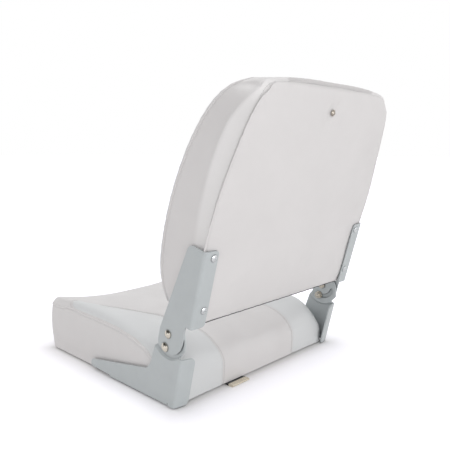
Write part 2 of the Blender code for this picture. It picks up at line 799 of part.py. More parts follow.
def back_place(across, along, level):
    """Where the back's surface passes for a vertex of its cage, in the hinge frame.

    Level 0 is the front.
    """
    row = round((along + 1) / 2 * BACK_ROWS)
    column = round(abs(across) * BACK_COLUMNS / 2)
    height_share, width_share, depth_share, rear_share = BACK_ROW_SHARES[row]
    side = 1 if across > 0 else -1
    if level > 1:
        width_share += BACK_REAR_WIDTH_SHARES[row]
    x = side * BACK_HALF_WIDTH * width_share * BACK_COLUMN_SHARES[column]
    rear = UPPER_PLANE - SHEET - GAP + BACK_DEPTH * rear_share
    if row == BACK_ROWS:
        height_share, depth_share = BACK_TOP_SHARES[min(level, 2)]
    up = BACK_EDGE + BACK_HEIGHT * height_share
    if row == BACK_ROWS:
        up -= BACK_TOP_DROP * BACK_TOP_DROP_SHARES[column] * BACK_TOP_LEVEL_SHARES[level]
    depth = BACK_DEPTH * depth_share
    if level == 0:
        fade = 1 if 0 < row < BACK_ROWS else BACK_HOLLOW_END_SHARE
        drop = [BACK_HOLLOW * fade * share for share in BACK_HOLLOW_SHARES] + [0, BACK_FRONT_SEAM]
        return (x, UPPER_PLANE - depth + drop[column], up)
    if level == 1:
        if column == BACK_COLUMNS / 2 and 0 < row < BACK_ROWS:
            x += side * BACK_SIDE_BULGE
        return (x, UPPER_PLANE - depth * (1 if row == BACK_ROWS else BACK_SIDE_SHARE), up)
    if level == 2:
        return (x, rear - BACK_EDGE_SET, up)
    centre_up = BACK_EDGE + BACK_HEIGHT / 2
    panel_up = centre_up + (up - centre_up) * BACK_PANEL_SHARE
    return (x * BACK_PANEL_SHARE, rear + BACK_PANEL_CROWN, panel_up)


def smoothing(obj):
    """One subdivision of the object's cage."""
    surface = obj.modifiers.new("smooth", "SUBSURF")
    surface.levels = 1
    surface.render_levels = 1


def fitted(bm, place, name):
    """The cage as a mesh, moved until its vertices, once smoothed, lie where `place` puts them."""
    targets = []
    strengths = []
    for vert in bm.verts:
        across, along, below = vert.co
        strengths.append(CORNER_FIT_SHARE if abs(across * along) > 1 - MERGE else 1)
        targets.append(Vector(place(across, along, round(-below))))
    for vert, target in zip(bm.verts, targets):
        vert.co = target
    face_outward(bm)
    mesh = mesh_from(bm, name)
    guide = bpy.data.objects.new(name, mesh)
    CUTTERS.objects.link(guide)
    smoothing(guide)
    for _ in range(FIT_PASSES):
        mesh.update()
        mesh.update_tag()
        bpy.context.view_layer.update()
        surface = guide.evaluated_get(bpy.context.evaluated_depsgraph_get()).to_mesh()
        reached = [vert.co.copy() for vert in surface.vertices[: len(targets)]]
        for vert, target, smoothed, strength in zip(mesh.vertices, targets, reached, strengths):
            vert.co += (target - smoothed) * strength
    bpy.data.objects.remove(guide)
    return mesh


def seat_cage():
    """The seat's outer form as a cage open below, and which of its vertices are the hem's edge."""
    bm = box_grid(SEAT_COLUMNS, SEAT_ROWS, 3)
    crease(bm, edges_at(bm, 2), FULL_CREASE)
    crease(bm, edges_at(bm, 3), FULL_CREASE)
    hem = [vert.index for vert in bm.verts if round(vert.co.z) == -3]
    return fitted(bm, seat_place, "seat_cover"), hem


def back_cage():
    """The back's outer form as a closed cage, and its faces where the cover is open below the board."""
    bm = box_grid(BACK_COLUMNS, BACK_ROWS, 3)
    rim = [edge for edge in bm.edges if edge.is_boundary]
    bmesh.ops.contextual_create(bm, geom=rim)
    crease(bm, edges_at(bm, 2), BACK_EDGE_CREASE)
    mouth = []
    for face in bm.faces:
        centre = face.calc_center_median()
        if centre.y < MERGE - 1 and -2 < centre.z < -1 and abs(centre.x) < BACK_MOUTH_SHARE:
            mouth.append(face)
    border = [edge for edge in bm.edges if len(set(edge.link_faces) & set(mouth)) == 1]
    crease(bm, border, FULL_CREASE)
    bm.faces.index_update()
    indices = [face.index for face in mouth]
    return fitted(bm, back_place, "back_cover"), indices


def closed_below(cage, hem, name):
    """A copy of the cage without its hem, closed by one face."""
    bm = bmesh.new()
    bm.from_mesh(cage)
    bm.verts.ensure_lookup_table()
    bmesh.ops.delete(bm, geom=[bm.verts[index] for index in hem], context="VERTS")
    bmesh.ops.contextual_create(bm, geom=[edge for edge in bm.edges if edge.is_boundary])
    face_outward(bm)
    return mesh_from(bm, name)


def opened(cage, mouth, name):
    """A copy of the cage without the faces listed."""
    bm = bmesh.new()
    bm.from_mesh(cage)
    bm.faces.ensure_lookup_table()
    bmesh.ops.delete(bm, geom=[bm.faces[index] for index in mouth], context="FACES_ONLY")
    return mesh_from(bm, name)


def skin(obj):
    """Give the smoothed form the vinyl's thickness, inward."""
    smoothing(obj)
    shell = obj.modifiers.new("vinyl", "SOLIDIFY")
    shell.thickness = VINYL
    shell.offset = -1


def shrunk(obj, inset):
    """Draw the smoothed form in along its normals."""
    smoothing(obj)
    push = obj.modifiers.new("inside_cover", "DISPLACE")
    push.strength = -inset
    push.mid_level = 0


def smooth(obj):
    """Shade the cover smooth, with its hem and mouth edges left sharp."""
    obj.data.shade_smooth()
    obj.data.set_sharp_from_angle(angle=COVER_SHARP_ANGLE)


def rounded_box(half_width, front, rear, corner):
    """A rectangle's outline with rounded corners, or square ones where the corner is 0."""
    places = ((-half_width, front), (half_width, front), (half_width, rear), (-half_width, rear))
    return rounded([(x, y, corner) for x, y in places])


def build_seat_pan(screw_cutters):
    """Moulded pan: a plate with a grooved pad for the inserts and pockets between ribs round it."""
    loops = [rounded_box(PAN_HALF_WIDTH, PAN_FRONT, PAN_REAR, PAN_CORNER)]
    frame = Matrix.Translation((0, 0, PAN_THICK / 2))
    pan = add_part("seat_pan", outline_mesh("seat_pan", loops, PAN_THICK, frame), PAN_PLASTIC)
    pockets = []
    low = -OVERRUN
    high = PAN_THICK - PAN_FLOOR
    side_low = PAD_HALF + PAN_RIB
    side_high = PAN_HALF_WIDTH - PAN_SIDE_RIM
    start = PAN_FRONT + PAN_RIM
    end = PAN_REAR - PAN_RIM
    pitch = (end - start + PAN_RIB) / POCKET_ROWS
    for index in range(POCKET_ROWS):
        near = start + index * pitch
        far = near + pitch - PAN_RIB
        for _, side in SIDES:
            xs = sorted((side * side_low, side * side_high))
            pockets.append(block("pocket", (xs[0], near, low), (xs[1], far, high)))
    for near, far in ((start, -PAD_HALF - PAN_RIB), (PAD_HALF + ANCHOR_LAND, end)):
        for _, side in SIDES:
            xs = sorted((side * PAN_RIB / 2, side * PAD_HALF))
            pockets.append(block("pocket", (xs[0], near, low), (xs[1], far, high)))
    cut(pan, add_cutter("pan_pockets", joined(pockets, "pan_pockets")))
    groove_half = PAD_HALF + PAD_GROOVE
    rings = [rounded_box(half, -half, half, 0) for half in (groove_half, PAD_HALF)]
    groove_frame = Matrix.Translation((0, 0, (PAD_GROOVE_DEPTH - OVERRUN) / 2))
    groove = outline_mesh("pad_groove", rings, PAD_GROOVE_DEPTH + OVERRUN, groove_frame)
    cut(pan, add_cutter("pad_groove", groove))
    bores = []
    for x in (-INSERT_PITCH / 2, INSERT_PITCH / 2):
        for y in (-INSERT_PITCH / 2, INSERT_PITCH / 2):
            profile = [
                (0, PAN_THICK + OVERRUN),
                (INSERT_FLANGE / 2 + RUN, PAN_THICK + OVERRUN),
                (INSERT_FLANGE / 2 + RUN, PAN_THICK - INSERT_FLANGE_THICK - GAP),
                (INSERT_BARREL / 2 + RUN, PAN_THICK - INSERT_FLANGE_THICK - GAP),
                (INSERT_BARREL / 2 + RUN, -OVERRUN),
                (0, -OVERRUN),
            ]
            bores.append(turned("insert_bore", profile, ROUND_SIDES, Matrix.Translation((x, y, 0))))
    cut(pan, add_cutter("insert_bores", joined(bores, "insert_bores")))
    ends = ((STRAP_X, ANCHOR_Y, low), (STRAP_X, ANCHOR_Y, high))
    anchor = rod("anchor_bore", SCREW_SHANK + 2 * RUN, *ends)
    cut(pan, add_cutter("anchor_bore", anchor), *screw_cutters)


def build_inserts():
    """Four T-nuts: a threaded barrel flush with the underside and a flange let into the top."""
    profile = [
        (INSERT_THREAD / 2, PAN_THICK - GAP / 2),
        (INSERT_FLANGE / 2, PAN_THICK - GAP / 2),
        (INSERT_FLANGE / 2, PAN_THICK - INSERT_FLANGE_THICK),
        (INSERT_BARREL / 2, PAN_THICK - INSERT_FLANGE_THICK),
        (INSERT_BARREL / 2, 0),
        (INSERT_THREAD / 2, 0),
        (INSERT_THREAD / 2, PAN_THICK - GAP / 2),
    ]
    mesh = turned("insert", profile, ROUND_SIDES, Matrix())
    for depth_name, y in (("front", -INSERT_PITCH / 2), ("rear", INSERT_PITCH / 2)):
        for side_name, side in SIDES:
            frame = Matrix.Translation((side * INSERT_PITCH / 2, y, 0))
            add_part(f"insert_{depth_name}_{side_name}", mesh, STAINLESS, frame=frame)


def build_seat_cushion():
    """Foam on the pan and the sewn cover that wraps under its rim."""
    cage, hem = seat_cage()
    foam = add_part("seat_foam", closed_below(cage, hem, "seat_foam"), FOAM)
    cover = add_part("seat_cover", cage, VINYL_GREY)
    skin(cover)
    smooth(cover)
    holes = []
    for _, side in SIDES:
        for y in base_screw_ys():
            x = side * BASE_SCREW_X
            ends = ((x, y, -LOWER_FLOOR), (x, y, OVERRUN))
            holes.append(rod("hem_hole", SCREW_SHANK + 2 * RUN, *ends, HEM_SCREW_SIDES))
    cut(cover, add_cutter("hem_holes", joined(holes, "hem_holes")))
    shrunk(foam, VINYL + FOAM_GAP)
    low = (-SEAT_HALF_WIDTH - OVERRUN, SEAT_FRONT - OVERRUN, -LOWER_FLOOR - OVERRUN)
    high = (SEAT_HALF_WIDTH + OVERRUN, SEAT_REAR + OVERRUN, PAN_THICK + GAP)
    cut(foam, add_cutter("under_foam", block("under_foam", low, high)))


def build_lower_brackets(screw_cutters):
    """The left lower bracket with its bore, stop slot and screw holes, and its mirror image."""
    bore = rod(
        "pivot_bore", PIVOT_BOLT + 2 * RUN, (LOBE_FACE - SHEET - OVERRUN, PIVOT_Y, PIVOT_Z),
        (LOBE_FACE + OVERRUN, PIVOT_Y, PIVOT_Z),
    )
    slot = arc_slot(
        "stop_slot", STOP_BUSH + 2 * RUN, STOP_ANGLE - STOP_PLAY, STOP_ANGLE + FOLD + STOP_PLAY,
        LOBE_FACE - SHEET - OVERRUN, LOBE_FACE + OVERRUN,
    )
    cutters = [add_cutter("lower_pivot_bore", bore), add_cutter("stop_slot", slot), *screw_cutters]
    left = pressed_sheet("lower_bracket_left", lower_bracket_surface(), cutters)
    add_part("lower_bracket_left", left, GREY_PAINT)
    add_part("lower_bracket_right", mirrored(left, "lower_bracket_right"), GREY_PAINT)


def build_upper_brackets(back, screw_cutters):
    """The left upper bracket with its holes, and its mirror image."""
    stop_y, stop_z = stop_place()
    inside = UPPER_FACE - SHEET - OVERRUN
    outside = UPPER_FACE + OVERRUN
    pivot = rod("pivot_hole", PIVOT_BOLT + 2 * RUN, (inside, 0, 0), (outside, 0, 0))
    ends = ((inside, stop_y, stop_z), (outside, stop_y, stop_z))
    stop = rod("stop_hole", STOP_BOLT + 2 * RUN, *ends)
    holes = add_cutter("upper_holes", joined([pivot, stop], "upper_holes"))
    left = pressed_sheet("upper_bracket_left", upper_bracket_surface(), [holes, *screw_cutters])
    add_part("upper_bracket_left", left, GREY_PAINT, back)
    add_part("upper_bracket_right", mirrored(left, "upper_bracket_right"), GREY_PAINT, back)


def build_pivots():
    """Pivot bolts with their lock nuts and the nylon washers between the webs."""
    seat = UPPER_FACE + GAP
    end = LOBE_FACE - SHEET - GAP - NUT_HEIGHT - BOLT_END
    bolt = dome_profile(PIVOT_HEAD, PIVOT_HEAD_HEIGHT, PIVOT_BOLT, seat - end)
    bolt_mesh = turned("pivot_bolt_left", bolt, FINE_SIDES, along_x(seat, PIVOT_Y, PIVOT_Z, 1))
    nut_face = LOBE_FACE - SHEET - GAP
    nut_mesh = lock_nut("pivot_nut_left", PIVOT_BOLT, nut_face, PIVOT_Y, PIVOT_Z)
    washer = ring_profile(NYLON_WASHER, PIVOT_BOLT + 2 * RUN, NYLON_WASHER_THICK)
    washer_frame = along_x(LOBE_FACE + GAP, PIVOT_Y, PIVOT_Z, 1)
    washer_mesh = turned("pivot_washer_left", washer, FINE_SIDES, washer_frame)
    for name, mesh, material in (
        ("pivot_bolt", bolt_mesh, STAINLESS),
        ("pivot_nut", nut_mesh, STAINLESS),
        ("pivot_washer", washer_mesh, NYLON),
    ):
        add_part(f"{name}_left", mesh, material)
        add_part(f"{name}_right", mirrored(mesh, f"{name}_right"), material)


def lock_nut(name, bolt, face, y, z):
    """A hexagon nut with a raised collar, running inboard from its face."""
    bore = bolt / 2 + RUN
    across = NUT_FLATS / math.cos(math.pi / NUT_SIDES)
    hexagon = NUT_HEIGHT * (1 - NUT_COLLAR_SHARE)
    body = [(0, 0), (across / 2, 0), (across / 2, -hexagon), (0, -hexagon)]
    frame = along_x(face, y, z, 1)
    nut = bpy.data.objects.new(name, turned(name, body, NUT_SIDES, frame))
    CUTTERS.objects.link(nut)
    root = -hexagon * NUT_COLLAR_ROOT_SHARE
    outer = NUT_COLLAR / 2
    collar = [(0, root), (outer, root), (outer, -NUT_HEIGHT), (0, -NUT_HEIGHT)]
    ring = add_cutter(f"{name}_collar", turned(f"{name}_collar", collar, FINE_SIDES, frame))
    hole = rod(f"{name}_hole", 2 * bore, (face - NUT_HEIGHT - OVERRUN, y, z), (face + OVERRUN, y, z))
    boolean(nut, ring, "UNION")
    cut(nut, add_cutter(f"{name}_hole", hole))
    mesh = realised(nut)
    bpy.data.objects.remove(nut)
    mesh.name = name
    return mesh


def stop_place():
    """The stop bolt's centre, rearward and up from the pivot, in the hinge frame."""
    angle = STOP_ANGLE + RECLINE
    return (STOP_RADIUS * math.cos(angle), STOP_RADIUS * math.sin(angle))


def build_stops(back):
    """Stop bolts through the upper brackets, each with a nylon bush in the slot, a washer and a nut."""
    y, z = stop_place()
    seat = UPPER_FACE + GAP
    bush_outer = UPPER_FACE - SHEET - GAP
    bush_inner = LOBE_FACE - SHEET - GAP
    washer_face = bush_inner - GAP
    nut_face = washer_face - STOP_WASHER_THICK - GAP
    end = nut_face - NUT_HEIGHT - BOLT_END
    bolt = dome_profile(STOP_HEAD, STOP_HEAD_HEIGHT, STOP_BOLT, seat - end)
    bolt_mesh = turned("stop_bolt_left", bolt, FINE_SIDES, along_x(seat, y, z, 1))
    bore = STOP_BOLT + 2 * RUN
    bush = ring_profile(STOP_BUSH, bore, bush_outer - bush_inner)
    bush_mesh = turned("stop_bush_left", bush, FINE_SIDES, along_x(bush_inner, y, z, 1))
    washer = ring_profile(STOP_WASHER, bore, STOP_WASHER_THICK)
    washer_mesh = turned(
        "stop_washer_left", washer, FINE_SIDES, along_x(washer_face - STOP_WASHER_THICK, y, z, 1)
    )
    nut_mesh = lock_nut("stop_nut_left", STOP_BOLT, nut_face, y, z)
    for name, mesh, material in (
        ("stop_bolt", bolt_mesh, STAINLESS),
        ("stop_bush", bush_mesh, NYLON),
        ("stop_washer", washer_mesh, STAINLESS),
        ("stop_nut", nut_mesh, STAINLESS),
    ):
        add_part(f"{name}_left", mesh, material, back)
        add_part(f"{name}_right", mirrored(mesh, f"{name}_right"), material, back)


def build_base_screws():
    """Three countersunk screws up through each base flange."""
    names = ("rear", "middle", "front")
    mesh = base_screw_mesh(0, 0)
    for side_name, side in SIDES:
        for name, y in zip(names, base_screw_ys()):
            frame = Matrix.Translation((side * BASE_SCREW_X, y, 0))
            add_part(f"base_screw_{side_name}_{name}", mesh, STAINLESS, frame=frame)


def build_back(back, screw_cutter, stud_cutter):
    """Back board, the pad behind it, the foam in front of it and the sewn cover."""
    cage, mouth = back_cage()
    cover = add_part("back_cover", opened(cage, mouth, "back_cover"), VINYL_GREY, back)
    skin(cover)
    smooth(cover)
    cut(cover, screw_cutter, stud_cutter)
    board_rear = UPPER_PLANE - SHEET - GAP - BACK_EDGE_SET - VINYL - BACK_PAD
    board_front = board_rear - BACK_BOARD
    board_middle = Matrix.Translation((0, board_rear - BACK_BOARD / 2, 0))
    frame = board_middle @ Matrix.Rotation(math.pi / 2, 4, "X")
    board_mesh = outline_mesh("back_board", [back_board_outline()], BACK_BOARD, frame)
    board = add_part("back_board", board_mesh, PAN_PLASTIC, back)
    cut(board, screw_cutter, stud_cutter)
    reach = BACK_HALF_WIDTH + BACK_BOARD
    low = BACK_EDGE - BACK_BOARD
    high = BACK_EDGE + BACK_HEIGHT + BACK_BOARD
    past_panel = UPPER_PLANE + BACK_DEPTH / 2
    behind = block("behind_foam", (-reach, board_front - GAP, low), (reach, past_panel, high))
    past_front = UPPER_PLANE - 2 * BACK_DEPTH
    before = block("before_pad", (-reach, past_front, low), (reach, board_rear + GAP, high))
    foam = add_part("back_foam", cage, FOAM, back)
    shrunk(foam, VINYL + FOAM_GAP)
    cut(foam, add_cutter("behind_foam", behind, back))
    pad = add_part("back_pad", cage, FOAM, back)
    shrunk(pad, VINYL + FOAM_GAP)
    cut(pad, add_cutter("before_pad", before, back), screw_cutter, stud_cutter)


def back_board_outline():
    """The back's outline drawn in by the board's inset, its corners cut off."""
    right = []
    for height_share, width_share, *_ in BACK_ROW_SHARES[:-1]:
        up = BACK_EDGE + BACK_HEIGHT * height_share
        right.append((BACK_HALF_WIDTH * width_share - BACK_BOARD_INSET, up))
    low = right.pop(0)
    last = right.pop()
    right.insert(0, (low[0], low[1] + 2 * BACK_BOARD_INSET))
    right.insert(0, (low[0] - BACK_BOARD_INSET, low[1] + BACK_BOARD_INSET))
    right.append((last[0] - BACK_BOARD_INSET / 2, last[1] - BACK_BOARD_INSET))
    corner = BACK_HALF_WIDTH * BACK_ROW_SHARES[-1][1]
    right.append((corner - 3 * BACK_BOARD_INSET, BACK_EDGE + BACK_HEIGHT - BACK_BOARD_INSET))
    left = [(-x, up) for x, up in reversed(right)]
    return right + left


def build_back_screws(back):
    """Two domed screws through each upper flange into the board."""
    profile = dome_profile(SCREW_HEAD, SCREW_HEAD_HEIGHT, SCREW_SHANK, BACK_SCREW_LENGTH)
    mesh = turned("back_screw", profile, ROUND_SIDES, rearward(0, 0, 0))
    names = ("left_lower", "left_upper", "right_lower", "right_upper")
    for name, (x, up) in zip(names, back_screw_places()):
        frame = Matrix.Translation((x, UPPER_PLANE + GAP, up))
        add_part(f"back_screw_{name}", mesh, STAINLESS, back, frame)


def back_screw_cutter(back):
    """Clearance for the domed screws."""
    rods = []
    for x, up in back_screw_places():
        start = (x, UPPER_PLANE + OVERRUN, up)
        end = (x, UPPER_PLANE - BACK_SCREW_LENGTH - GAP, up)
        rods.append(rod("back_screw_clearance", SCREW_SHANK + 2 * RUN, start, end, ROUND_SIDES))
    return add_cutter("back_screw_clearance", joined(rods, "back_screw_clearance"), back)


def stud_seat():
    """Face of the rear panel at the stud."""
    return UPPER_PLANE - SHEET - GAP + BACK_DEPTH * STUD_SEAT_SHARE


def build_stud(back):
    """Snap stud riveted through the rear panel into the board."""
    profile = dome_profile(STUD_CAP, STUD_THICK, STUD_SHANK, STUD_LENGTH)
    frame = rearward(0, stud_seat() + GAP, BACK_EDGE + STUD_HEIGHT)
    add_part("snap_stud", turned("snap_stud", profile, FINE_SIDES, frame), STAINLESS, back)


def stud_cutter(back):
    """Clearance for the snap stud's shank."""
    up = BACK_EDGE + STUD_HEIGHT
    start = (0, stud_seat() + OVERRUN, up)
    end = (0, stud_seat() + GAP - STUD_LENGTH - GAP, up)
    return add_cutter("stud_clearance", rod("stud_clearance", STUD_SHANK + 2 * RUN, start, end), back)


def build_strap():
    """Webbing strap: screwed under the pan behind the pad, with its hemmed end out behind the seat."""
    top = -GAP
    low = -VINYL - 3 * GAP
    hem_front = STRAP_REAR - STRAP_HEM
    dip_end = PAN_REAR - HEM - STRAP_THICK
    dip_start = dip_end - STRAP_DIP
    hem_low = low - STRAP_THICK - (LOWER_FLOOR + low - STRAP_THICK) * STRAP_HANG_SHARE
    rise = STRAP_HEM_THICK + hem_low
    corners = [
        (STRAP_FRONT, top, 0),
        (STRAP_FRONT, top - STRAP_THICK, 0),
        (dip_start, top - STRAP_THICK, 0),
        (dip_end, low - STRAP_THICK, 0),
        (hem_front - STRAP_THICK, low - STRAP_THICK, 0),
        (hem_front, hem_low, 0),
        (STRAP_REAR, hem_low, STRAP_THICK),
        (STRAP_REAR, rise, STRAP_THICK),
        (hem_front + STRAP_HEM * STRAP_HEM_STEP_SHARE, rise, STRAP_THICK / 2),
        (hem_front, low, 0),
        (dip_end, low, 0),
        (dip_start, top, 0),
    ]
    mesh = outline_mesh("hold_down_strap", [rounded(corners)], STRAP_WIDTH, side_frame(STRAP_X))
    strap = add_part("hold_down_strap", mesh, WEBBING)
    holes = []
    for name, shank, y in (("anchor_hole", SCREW_SHANK, ANCHOR_Y), ("snap_hole", SNAP_NECK, SNAP_Y)):
        ends = ((STRAP_X, y, -LOWER_FLOOR), (STRAP_X, y, OVERRUN))
        holes.append(rod(name, shank + 2 * RUN, *ends))
    cut(strap, add_cutter("strap_holes", joined(holes, "strap_holes")))


def build_strap_fittings():
    """The strap's screw and washer, and the snap socket through it."""
    washer_top = -GAP - STRAP_THICK - GAP
    washer = ring_profile(ANCHOR_WASHER, SCREW_SHANK + 2 * RUN, ANCHOR_WASHER_THICK)
    frame = Matrix.Translation((STRAP_X, ANCHOR_Y, washer_top - ANCHOR_WASHER_THICK))
    add_part("strap_washer", turned("strap_washer", washer, FINE_SIDES, frame), STAINLESS)
    seat = washer_top - ANCHOR_WASHER_THICK - GAP
    profile = [
        (0, ANCHOR_LENGTH),
        (SCREW_SHANK / 4, ANCHOR_LENGTH),
        (SCREW_SHANK / 2, ANCHOR_LENGTH - SCREW_SHANK / 2),
        (SCREW_SHANK / 2, 0),
        (ANCHOR_HEAD / 2, 0),
        (ANCHOR_HEAD / 2, -ANCHOR_HEAD_HEIGHT / 2),
        (ANCHOR_HEAD / 4, -ANCHOR_HEAD_HEIGHT),
        (0, -ANCHOR_HEAD_HEIGHT),
    ]
    frame = Matrix.Translation((STRAP_X, ANCHOR_Y, seat))
    add_part("strap_screw", turned("strap_screw", profile, ROUND_SIDES, frame), STAINLESS)
    top = GAP
    under = -2 * GAP - STRAP_THICK
    snap = [
        (0, top + SNAP_SOCKET_HEIGHT),
        (SNAP_SOCKET / 2, top + SNAP_SOCKET_HEIGHT),
        (SNAP_SOCKET / 2, top),
        (SNAP_NECK / 2, top),
        (SNAP_NECK / 2, under),
        (SNAP_CAP / 2, under),
        (SNAP_CAP / 2 - SNAP_CAP_HEIGHT / 2, under - SNAP_CAP_HEIGHT),
        (0, under - SNAP_CAP_HEIGHT),
    ]
    frame = Matrix.Translation((STRAP_X, SNAP_Y, 0))
    add_part("strap_snap_socket", turned("strap_snap_socket", snap, FINE_SIDES, frame), STAINLESS)


def main():
    """Build every piece, then hang the moving ones on the hinge frame."""
    back = bpy.data.objects.new("backrest_pivot", None)
    PARTS.objects.link(back)
    back.matrix_world = HINGE_FRAME
    bpy.context.view_layer.update()
    clearances = []
    for _, side in SIDES:
        for y in base_screw_ys():
            clearances.append(base_screw_cutter(side * BASE_SCREW_X, y))
    base = [add_cutter("base_screw_clearance", joined(clearances, "base_screw_clearance"))]
    build_seat_pan(base)
    build_inserts()
    build_seat_cushion()
    build_base_screws()
    build_lower_brackets(base)
    build_pivots()
    screws = back_screw_cutter(back)
    build_upper_brackets(back, [add_cutter("bracket_screw_clearance", screws.data)])
    build_stops(back)
    build_back(back, screws, stud_cutter(back))
    build_back_screws(back)
    build_stud(back)
    build_strap()
    build_strap_fittings()


main()
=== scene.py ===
"""Folding boat seat: upholstery, hinge brackets, fasteners and studio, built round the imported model.

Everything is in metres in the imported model's frame: the origin is the centre of the threaded inserts under
the seat pan, the occupant faces -Y, and +X is the occupant's left.
"""

from __future__ import annotations

import json
import logging
import math
from collections.abc import Callable, Iterable, Sequence
from dataclasses import dataclass, field
from enum import Enum

import bmesh
import bpy
import numpy as np
from mathutils import Matrix, Vector
from mathutils.bvhtree import BVHTree
from mathutils.kdtree import KDTree

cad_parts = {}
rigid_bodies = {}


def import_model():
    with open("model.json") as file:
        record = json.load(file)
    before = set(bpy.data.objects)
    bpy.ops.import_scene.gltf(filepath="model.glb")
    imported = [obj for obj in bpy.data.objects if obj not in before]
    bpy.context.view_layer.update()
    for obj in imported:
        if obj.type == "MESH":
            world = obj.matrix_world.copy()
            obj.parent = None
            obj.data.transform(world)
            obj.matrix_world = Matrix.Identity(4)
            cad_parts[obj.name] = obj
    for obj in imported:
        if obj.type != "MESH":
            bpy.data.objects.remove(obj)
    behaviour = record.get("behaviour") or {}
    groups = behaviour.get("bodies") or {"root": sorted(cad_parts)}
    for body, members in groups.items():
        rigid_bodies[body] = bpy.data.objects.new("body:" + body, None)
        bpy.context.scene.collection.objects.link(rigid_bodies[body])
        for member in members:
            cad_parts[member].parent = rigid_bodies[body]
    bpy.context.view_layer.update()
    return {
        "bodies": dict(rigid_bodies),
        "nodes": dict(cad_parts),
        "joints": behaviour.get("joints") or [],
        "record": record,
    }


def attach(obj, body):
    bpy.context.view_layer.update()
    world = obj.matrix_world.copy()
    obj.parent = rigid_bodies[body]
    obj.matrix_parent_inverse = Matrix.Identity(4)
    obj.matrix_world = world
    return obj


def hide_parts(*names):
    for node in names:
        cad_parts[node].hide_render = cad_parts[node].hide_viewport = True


LOG = logging.getLogger("folding_boat_seat")
MM = 0.001
WHITE = (1.0, 1.0, 1.0, 1.0)
# The values that a noise texture mostly stays between
NOISE_SPAN = (0.3, 0.7)
# A wave texture runs through this many radians for each unit of its scale
WAVE_TURN = 20.0
Source = tuple[bpy.types.Node, str]
Span = tuple[float, float]
Place = Callable[[float, float, int], tuple[float, float, float]]
Table = tuple[tuple[float, ...], ...]


class Body(Enum):
    """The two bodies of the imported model."""

    SEAT = "seat"
    BACK = "backrest"


# Small tools


def linear(colour: str) -> tuple[float, float, float, float]:
    """Turn an sRGB hex colour to linear light.

    Args:
        colour: The colour, such as "#RRGGBB".

    Returns:
        Red, green, blue and a full alpha.
    """
    shares = [int(colour[start : start + 2], 16) / 255 for start in (1, 3, 5)]
    values = [share / 12.92 if share <= 0.04045 else ((share + 0.055) / 1.055) ** 2.4 for share in shares]
    return (values[0], values[1], values[2], 1.0)


@dataclass
class Graph:
    """A node tree, with short ways to add the nodes that most finishes use."""

    tree: bpy.types.NodeTree

    def add(
        self, kind: str, output: str, inputs: dict[str | int, object] | None = None, **settings: object
    ) -> Source:
        """Add one node.

        Args:
            kind: Its type, without the leading "ShaderNode".
            output: The output that the caller goes on with.
            inputs: Its input sockets, each with a value or with the source that feeds it.
            settings: Properties of the node itself.

        Returns:
            The new node and the name of that output.
        """
        node = self.tree.nodes.new(f"ShaderNode{kind}")
        for name, value in settings.items():
            setattr(node, name, value)
        for socket, value in (inputs or {}).items():
            if isinstance(value, tuple) and isinstance(value[0], bpy.types.Node):
                self.tree.links.new(value[0].outputs[value[1]], node.inputs[socket])
            else:
                node.inputs[socket].default_value = value
        return node, output

    def math(self, operation: str, first: Source | float, second: Source | float) -> Source:
        """Combine two values."""
        return self.add("Math", "Value", {0: first, 1: second}, operation=operation)

    def ranged(self, source: Source, span: Span, to: Span = (0.0, 1.0), smooth: bool = False) -> Source:
        """Map one span of a source's values to another.

        Args:
            source: What is mapped.
            span: The two values that the map starts from.
            to: The two values that they are mapped to.
            smooth: Whether the map eases in and out.

        Returns:
            The mapped values.
        """
        inputs = {"Value": source, "From Min": span[0], "From Max": span[1], "To Min": to[0], "To Max": to[1]}
        return self.add("MapRange", "Result", inputs, interpolation_type="SMOOTHSTEP" if smooth else "LINEAR")

    def mixed(self, factor: Source, first: Source | str, second: Source | str) -> Source:
        """Blend two colours, each a source or a hex value."""
        first, second = (linear(item) if isinstance(item, str) else item for item in (first, second))
        return self.add("Mix", "Result", {"Factor": factor, "A": first, "B": second}, data_type="RGBA")


